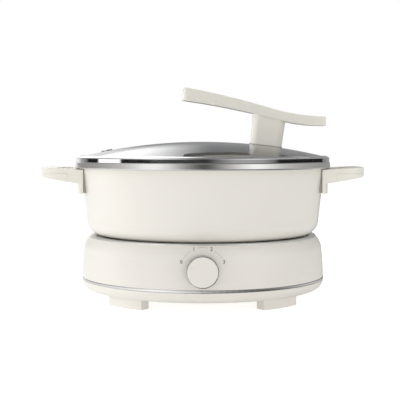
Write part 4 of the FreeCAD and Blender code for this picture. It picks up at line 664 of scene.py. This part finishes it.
bpy.ops.mesh.primitive_circle_add(vertices=360, radius=SCALE_RADIUS - ARC_WIDTH)
arcs = [added("scale_arc_0")]
edit(arcs[0])
pick("EDGE", lambda edge: True)
bpy.ops.mesh.extrude_region_move()
grow = SCALE_RADIUS / (SCALE_RADIUS - ARC_WIDTH)
bpy.ops.transform.resize(value=(grow, grow, 1))
low_turn, high_turn = radians(MARK_ANGLES[1] + ARC_GAP), radians(MARK_ANGLES[0] - ARC_GAP)
pick("FACE", lambda face: not low_turn < atan2(
    face.calc_center_median().y, face.calc_center_median().x) < high_turn)
bpy.ops.mesh.delete(type="FACE")
done()
for number in range(1, len(MARK_ANGLES) - 1):
    only(arcs[0])
    bpy.ops.object.duplicate()
    arcs.append(added(f"scale_arc_{number}"))
for number, arc in enumerate(arcs):
    press_on(arc, (0, IN_FRONT, DIAL_HEIGHT), turn=radians(number * MARK_STEP))
print(f"scale: {len(arcs)} arcs, {SCALE_RADIUS / MM:.1f} mm from the dial's middle")


# %% [markdown]
# ## Screw heads
# The screws that stand upright are pan-head thread-forming screws with a cross recess. A recess
# could be painted on, but a sunk one catches the light as a real one does. One cross-shaped cutter
# is made for each set, narrower at its tip as a driver's is, and moved from head to head. The one
# screw inside the lid leans with the dome and keeps its plain head.

# %% Find the heads and make the cutter
BAR_SHARE = 0.24
TIP_SHARE = 0.45


def heads(piece, upwards):
    """The middle of the outer face of each separate screw in a piece."""
    mesh = bmesh.new()
    mesh.from_mesh(piece.data)
    seen, spots = set(), []
    for start in mesh.verts:
        if start in seen:
            continue
        found, edge_of = [], [start]
        seen.add(start)
        while edge_of:
            vert = edge_of.pop()
            found.append(vert.co)
            near = {edge.other_vert(vert) for edge in vert.link_edges} - seen
            seen |= near
            edge_of.extend(near)
        xs, ys, zs = zip(*found)
        spots.append(Vector(((min(xs) + max(xs)) / 2, (min(ys) + max(ys)) / 2,
                             max(zs) if upwards else min(zs))))
    mesh.free()
    return spots


def cross_cutter(size, deep, upwards):
    """Two crossed bars at the origin that narrow on their way into the head."""
    bars = []
    inwards = -1 if upwards else 1
    for turn in (0, pi / 2):
        bpy.ops.mesh.primitive_cube_add(size=1, rotation=(0, 0, turn))
        bar = added("cutter")
        bar.scale = (size, size * BAR_SHARE, deep * 2)
        settle(bar)
        edit(bar)
        pick("FACE", lambda face: face.normal.z * inwards > 0.9)
        bpy.ops.transform.resize(value=(TIP_SHARE, TIP_SHARE, 1), center_override=(0, 0, 0))
        done()
        bars.append(bar)
    return bars


# %% [markdown]
# The heads' rims are rounded first, and then each bar of the cross is subtracted in turn.

# %% Cut cross recesses
HEAD_ROUNDING = 0.18 * MM


def recessed(node, name, size, deep, upwards, body):
    """A copy of a set of screws with a cross recess in each head."""
    piece = rounded(node, name, HEAD_ROUNDING, zinc_steel, "screw_steel", body, segments=2, sharp=50)
    cutters = cross_cutter(size, deep, upwards)
    spots = heads(piece, upwards)
    for spot in spots:
        for bar in cutters:
            bar.location = spot
            carve = piece.modifiers.new("Recess", "BOOLEAN")
            carve.object = bar
            carve.operation = "DIFFERENCE"
            carve.solver = "EXACT"
            apply_modifiers(piece)
    for bar in cutters:
        bpy.data.objects.remove(bar)
    settle(piece, smooth_below=30)
    print(f"{name}: {len(spots)} recesses {size / MM:.1f} mm across")


recessed("housing_screws", "pan_screws_housing", size=3.6 * MM, deep=1.1 * MM, upwards=False, body="base")
recessed("liner_screws", "pan_screws_liner", size=3.4 * MM, deep=0.8 * MM, upwards=True, body="base")
recessed("plate_screws", "pan_screws_plate", size=3.6 * MM, deep=1.1 * MM, upwards=False, body="base")
recessed("grip_screws", "pan_screws_grip", size=2.6 * MM, deep=0.8 * MM, upwards=False, body="pot")
recessed("handle_screws", "pan_screws_handle", size=3.6 * MM, deep=1.1 * MM, upwards=False, body="pot")

# %% [markdown]
# ## Spun steel
# The pot's rim and the lid's band are strips of sheet rolled round an edge. Their outer faces are
# flat and nearly upright with small bends at top and bottom, which is what gives a ring its crisp
# stripes of reflection. A bevelled cylinder would round every bend alike, so a section is drawn
# point by point instead, each corner takes its own radius, and the section is spun once round the
# axis, as a spinner turns sheet over a form.

# %% Spin a section
def spun(name, corners, rounds, steps=240):
    """Draw a closed section through (radius, height) corners in mm, round some, and spin it."""
    bpy.ops.mesh.primitive_plane_add(size=MM)
    piece = added(name)
    edit(piece)
    pick("VERT", lambda vert: True)
    bpy.ops.mesh.merge(type="CENTER")
    points = [Vector((radius, 0, height)) * MM for radius, height in corners]
    near = 0.01 * MM
    bpy.ops.transform.translate(value=points[0])
    for before, after in zip(points, points[1:]):
        bpy.ops.mesh.extrude_region_move(TRANSFORM_OT_translate={"value": after - before})
    pick("VERT", lambda vert: min((vert.co - end).length for end in (points[0], points[-1])) < near)
    bpy.ops.mesh.edge_face_add()
    for index, radius in rounds.items():
        pick("VERT", lambda vert: (vert.co - points[index]).length < near)
        bpy.ops.mesh.bevel(offset=radius * MM, affect="VERTICES", segments=5)
    bpy.ops.mesh.select_all(action="SELECT")
    bpy.ops.mesh.spin(steps=steps, angle=2 * pi, center=(0, 0, 0), axis=(0, 0, 1))
    bpy.ops.mesh.select_all(action="SELECT")
    bpy.ops.mesh.remove_doubles(threshold=near / 2)
    bpy.ops.mesh.normals_make_consistent(inside=False)
    done()
    settle(piece, smooth_below=40)
    print(f"{name}: {len(piece.data.polygons)} faces, radius {piece.dimensions.x / 2 / MM:.1f} mm")
    return piece


RIM_CORNERS = [
    (135.8, 141.7), (140.0, 141.7), (139.4, 148.2), (131.0, 148.2), (131.0, 147.4), (138.9, 147.4),
    (139.2, 142.5), (135.8, 142.5)]
BAND_CORNERS = [
    (129.0, 143.2), (129.7, 143.2), (129.7, 148.2), (138.8, 148.2), (138.8, 153.2), (136.8, 154.2),
    (134.6, 154.93), (134.6, 154.25), (138.1, 153.25), (138.1, 148.9), (129.0, 148.9)]

rim = spun("rolled_rim", RIM_CORNERS, {1: 1.2, 2: 0.7, 5: 0.3, 6: 0.3})
fit(rim, "pot", "polished_steel", rim_steel, "pot_rim")
band = spun("rolled_band", BAND_CORNERS, {2: 0.4, 3: 0.35, 4: 0.8})
fit(band, "lid", "polished_steel", band_steel, "lid_band")

# %% [markdown]
# The steel ring round the dial is turned from bar, and its front is one wide chamfer. It is drawn
# upright like the others, in millimetres, and then laid over, so that its axis points at whoever
# turns the dial.

# %% Turn the dial's ring
RING_WALL, BACK_CHAMFER = 0.9, 0.3
FRONT_CHAMFER_WIDE, FRONT_CHAMFER_DEEP = 0.75, 0.95

ring_low, ring_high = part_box("knob_ring")
outer = (ring_high.x - ring_low.x) / 2 / MM
front, back = -ring_low.y / MM, -ring_high.y / MM
dial_rim = spun("dial_rim", [
    (outer - RING_WALL, back), (outer - BACK_CHAMFER, back), (outer, back + BACK_CHAMFER),
    (outer, front - FRONT_CHAMFER_DEEP), (outer - FRONT_CHAMFER_WIDE, front),
    (outer - RING_WALL, front)], {3: 0.12, 4: 0.06}, steps=180)
dial_rim.rotation_euler = (pi / 2, 0, 0)
dial_rim.location = (0, 0, DIAL_HEIGHT)
settle(dial_rim, smooth_below=25)
fit(dial_rim, "knob", "polished_steel", turned_steel, "knob_ring")

# %% [markdown]
# ## Studio
# A white sweep surrounds the object. For the eye and for every mirror it is plain white, while the
# light it throws on the object is softer, so that the lamps can model the form. More light all
# round would also whiten the background, but it would burn the cream away.

# %% White surroundings
AMBIENT, BACKDROP = 0.6, 1.0


def seen_directly(tree):
    """1 for rays from the eye or from a mirror or glass, and 0 for light that falls on surfaces."""
    path = add_node(tree, "ShaderNodeLightPath")
    first = add_node(tree, "ShaderNodeMath", {
        0: path.outputs["Is Camera Ray"], 1: path.outputs["Is Glossy Ray"]}, operation="MAXIMUM")
    return add_node(tree, "ShaderNodeMath", {
        0: first.outputs["Value"], 1: path.outputs["Is Transmission Ray"]},
        operation="MAXIMUM").outputs["Value"]


world = bpy.data.worlds.new("White_sweep")
bpy.context.scene.world = world
world.use_nodes = True
sky = world.node_tree
strength = add_node(sky, "ShaderNodeMapRange", {
    "Value": seen_directly(sky), "To Min": AMBIENT, "To Max": BACKDROP})
sky.links.new(strength.outputs["Result"], sky.nodes["Background"].inputs["Strength"])
sky.nodes["Background"].inputs["Color"].default_value = (1, 1, 1, 1)
print(f"white sweep: {AMBIENT} as light, {BACKDROP} as seen")

# %% [markdown]
# The floor is white and glows, so that it looks as white as the rest. A plain white floor would
# need more light, and a stronger glow would wash out the undersides, so it glows more for the eye
# than for the surfaces above it. Mirrors don't see it, because it would fill the undersides of the
# steel with white.

# %% Glowing floor
FLOOR_LIT, FLOOR_SEEN = 0.26, 0.62
FLOOR_SIZE = 12

bpy.ops.mesh.primitive_plane_add(size=FLOOR_SIZE)
floor = added("floor")
floor.visible_glossy = False
floor_paint, tree, shader, _ = new_surface("Floor_white", "F4F4F4", 0.9)
glow_level = add_node(tree, "ShaderNodeMapRange", {
    "Value": seen_directly(tree), "To Min": FLOOR_LIT, "To Max": FLOOR_SEEN})
glow = add_node(tree, "ShaderNodeEmission", {
    "Color": (1, 1, 1, 1), "Strength": glow_level.outputs["Result"]})
both = add_node(tree, "ShaderNodeAddShader", {0: shader.outputs["BSDF"], 1: glow.outputs["Emission"]})
tree.links.new(both.outputs["Shader"], tree.nodes["Material Output"].inputs["Surface"])
floor.data.materials.append(floor_paint)
print(f"floor: {FLOOR_SIZE} m wide, glows {FLOOR_LIT} as light and {FLOOR_SEEN} as seen")


# %% [markdown]
# Five lamps model the form: a large soft box on the left, a low wide one in front, a weak fill on
# the right, and two narrow beams that pick out the left of the base and of the lid's post. Polished
# steel would mirror them as hard bright blocks, so reflections don't see them and get paper to
# mirror instead.

# %% Soft boxes
def soft_box(name, place, aim, width, height, radiance, spread=180):
    """A rectangular lamp aimed at a point, with a beam of the given spread in degrees."""
    bpy.ops.object.light_add(type="AREA", location=place)
    lamp = bpy.context.object
    lamp.name = name
    lamp.data.shape = "RECTANGLE"
    lamp.data.size, lamp.data.size_y = width, height
    lamp.data.energy = radiance * pi * width * height
    lamp.data.spread = radians(spread)
    lamp.rotation_euler = (Vector(aim) - Vector(place)).to_track_quat("-Z", "Y").to_euler()
    lamp.visible_camera = False
    lamp.visible_glossy = False
    print(f"{name}: {lamp.data.energy:.3f} W")


soft_box("key_left", (-1.55, 0.35, 0.4), (0, 0, 0.1), width=1.2, height=1.2, radiance=2.55)
soft_box("front_fill", (0.25, -2.0, 0.12), (0, 0, 0.1), width=1.2, height=0.2, radiance=8.2)
soft_box("left_beam", (-0.95, -0.95, 0.12), (-0.1, -0.08, 0.05), width=0.06, height=0.3,
         radiance=0.16, spread=7)
soft_box("post_beam", (-1.1, -0.17, 0.40), (0.06, -0.01, 0.185), width=0.08, height=0.08,
         radiance=0.48, spread=6)
soft_box("fill_right", (1.4, -1.5, 0.6), (0, 0, 0.1), width=0.8, height=1.0, radiance=0.8)


# %% [markdown]
# Paper in whites and greys, seen by nothing but reflections, gives the steel and the glass
# something to mirror. Without its dark parts, polished metal on white looks like paper itself. A
# sheet glows by itself and throws no shadow, so it shapes the reflections and nothing else.

# %% Paper that only reflections see
def only_reflected(piece):
    """Hide a piece of the studio from every ray but reflections."""
    for ray in ("camera", "diffuse", "transmission", "volume_scatter", "shadow"):
        setattr(piece, f"visible_{ray}", False)


def bare_paint(name):
    """A material with nothing but its output, for paper that glows by itself."""
    paint = bpy.data.materials.new(name)
    paint.use_nodes = True
    tree = paint.node_tree
    tree.nodes.remove(tree.nodes["Principled BSDF"])
    place = add_node(tree, "ShaderNodeTexCoord").outputs["Object"]
    return paint, tree, add_node(tree, "ShaderNodeSeparateXYZ", {"Vector": place}).outputs


def card(name, place, aim, width, height, level, feather, tilt=0):
    """A plane of even brightness, tilted by some degrees, whose edges fade over a share of each side."""
    bpy.ops.mesh.primitive_plane_add(size=1, location=place)
    piece = added(name)
    piece.scale = (width, height, 1)
    piece.rotation_euler = (Vector(aim) - Vector(place)).to_track_quat("Z", "Y").to_euler()
    piece.rotation_euler.rotate_axis("Z", radians(tilt))
    only_reflected(piece)
    paint, tree, parts = bare_paint(f"{name}_paint")
    cover = []
    for key, soft in zip("XY", feather):
        away = add_node(tree, "ShaderNodeMath", {0: parts[key]}, operation="ABSOLUTE")
        cover.append(add_node(tree, "ShaderNodeMapRange", {
            "Value": away.outputs["Value"], "From Min": 0.5, "From Max": 0.5 - soft},
            interpolation_type="SMOOTHSTEP").outputs["Result"])
    share = add_node(tree, "ShaderNodeMath", {0: cover[0], 1: cover[1]}, operation="MULTIPLY")
    blend = add_node(tree, "ShaderNodeMixShader", {
        0: share.outputs["Value"],
        1: add_node(tree, "ShaderNodeBsdfTransparent").outputs["BSDF"],
        2: add_node(tree, "ShaderNodeEmission", {"Strength": level}).outputs["Emission"]})
    tree.links.new(blend.outputs["Shader"], tree.nodes["Material Output"].inputs["Surface"])
    piece.data.materials.append(paint)
    print(f"{name}: {width} x {height} m at {level}")


# %% [markdown]
# The front of the studio is one curved wall of paper, a little over two metres away, from one side
# of the sweep round behind the camera to the other. Flat sheets side by side would leave gaps and
# kinks in the reflections. Bright and dark panels are painted on the wall at three heights.
# The upright band of the lid reflects the middle panels with hard edges, the rim, which leans
# back a little, reflects the soft upper ones, and the trim ring, seen from above, the low ones.

# %% Bend the curved wall
WALL_RADIUS, WALL_TALL, WALL_MIDDLE = 2.2, 4.0, 0.4
WALL_REACH = 150

bpy.ops.mesh.primitive_cylinder_add(
    vertices=120, radius=WALL_RADIUS, depth=WALL_TALL, end_fill_type="NOTHING",
    location=(0, 0, WALL_MIDDLE))
wall = added("curved_wall")
settle(wall)
edit(wall)
pick("FACE", lambda face: atan2(
    abs(face.calc_center_median().x), -face.calc_center_median().y) > radians(WALL_REACH))
bpy.ops.mesh.delete(type="FACE")
done()
only_reflected(wall)
print(f"curved_wall: {len(wall.data.polygons)} faces, {WALL_REACH} degrees to either side")

# %% [markdown]
# Each height's panels are stops of (degrees to the right of the camera, brightness) on a ramp that
# runs once round the wall. Two stops a degree apart make a hard edge, and stops further apart a
# soft one. The three ramps then follow each other up the wall.

# %% Paint the panels
HIGH_PANELS = [
    (-150, 0.40), (-127, 0.42), (-102, 0.52), (-85, 0.66), (-72, 0.80), (-60, 1.05), (-50, 1.40),
    (-38, 1.45), (-29, 1.08), (-20, 0.68), (-11, 0.35), (0, 0.10), (7, 0.18), (16, 0.48), (25, 0.82),
    (35, 1.20), (44, 1.50), (52, 1.42), (60, 1.15), (72, 0.80), (85, 0.66), (103, 0.54), (127, 0.44),
    (150, 0.40)]
LEVEL_PANELS = [
    (-150, 1.30), (-138, 0.60), (-122, 0.22), (-120, 0.02), (-103, 0.02), (-102, 1.70),
    (-75, 1.70), (-74, 0.01), (-46, 0.01), (-43, 0.07), (4, 0.05), (12, 0.20), (28, 0.52),
    (42, 0.52), (53, 0.44), (64, 0.20), (68, 0.015), (131, 0.02), (134, 0.30), (150, 0.40)]
LOW_PANELS = [
    (-150, 0.95), (-132, 1.00), (-114, 1.08), (-96, 1.18), (-75, 1.30), (-53, 1.52), (-39, 1.55),
    (-20, 1.30), (3, 0.85), (20, 0.52), (42, 0.20), (54, 0.16), (67, 0.22), (84, 0.50), (101, 0.75),
    (111, 0.88), (128, 0.85), (150, 0.70)]
LOW_TO_LEVEL = (0.06, 0.08)
LEVEL_TO_HIGH = (0.16, 0.18)

wall_paint, tree, parts = bare_paint("Curved_wall_paint")
to_front = add_node(tree, "ShaderNodeMath", {0: parts["Y"], 1: -1.0}, operation="MULTIPLY")
turn = add_node(tree, "ShaderNodeMath", {0: parts["X"], 1: to_front.outputs["Value"]}, operation="ARCTAN2")
share = add_node(tree, "ShaderNodeMapRange", {
    "Value": turn.outputs["Value"], "From Min": -pi, "From Max": pi})
rings = []
for stops in (LOW_PANELS, LEVEL_PANELS, HIGH_PANELS):
    ramp = add_node(tree, "ShaderNodeValToRGB", {"Fac": share.outputs["Result"]})
    marks = ramp.color_ramp.elements
    while len(marks) < len(stops):
        marks.new(0.5)
    for mark, (degrees, level) in zip(marks, stops):
        mark.position = (degrees + 180) / 360
        mark.color = (level, level, level, 1)
    rings.append(ramp.outputs["Color"])
whole = rings[0]
for above, (bottom, top) in zip(rings[1:], (LOW_TO_LEVEL, LEVEL_TO_HIGH)):
    rise = add_node(tree, "ShaderNodeMapRange", {
        "Value": parts["Z"], "From Min": bottom, "From Max": top}, interpolation_type="SMOOTHSTEP")
    whole = add_node(tree, "ShaderNodeMix", {0: rise.outputs["Result"], 6: whole, 7: above},
                     data_type="RGBA").outputs[2]
wall_light = add_node(tree, "ShaderNodeEmission", {"Color": whole, "Strength": 1.0})
tree.links.new(wall_light.outputs["Emission"], tree.nodes["Material Output"].inputs["Surface"])
wall.data.materials.append(wall_paint)
print(f"{len(HIGH_PANELS)} high, {len(LEVEL_PANELS)} level and {len(LOW_PANELS)} low stops painted")

# %% [markdown]
# Behind the object stands a grey card, which darkens the glass at a low angle, and in front of it
# on the left a bright soft box, which fades to nothing before the middle. A small strip low on the
# left keeps the dark line along the dome thin there. A dark card far below shades the undersides
# of the steel on the right, and a grey ceiling keeps its upper edges from going white.

# %% Cards behind, below and above
card("grey_behind", (0.575, 2.3, 1.9), (0.575, 0, 1.9), width=2.65, height=5.6, level=0.36,
     feather=(0.12, 0.03))
card("soft_box_behind", (-0.765, 2.1, 2.13), (-0.765, 0, 2.13), width=1.70, height=3.4, level=2.8,
     feather=(0.264, 0.133), tilt=-1)
card("low_strip_behind", (-0.45, 2.0, 0.4), (-0.45, 0, 0.4), width=0.56, height=0.5, level=1.1,
     feather=(0.45, 0.2))
card("dark_below", (0.75, 0, -1.1), (0.75, 0, 0), width=2.7, height=4.2, level=0.12,
     feather=(0.2, 0.1))
card("grey_ceiling", (0.75, 0, 2.4), (0.75, 0, 0), width=3.6, height=4.0, level=0.3,
     feather=(0.25, 0.1))
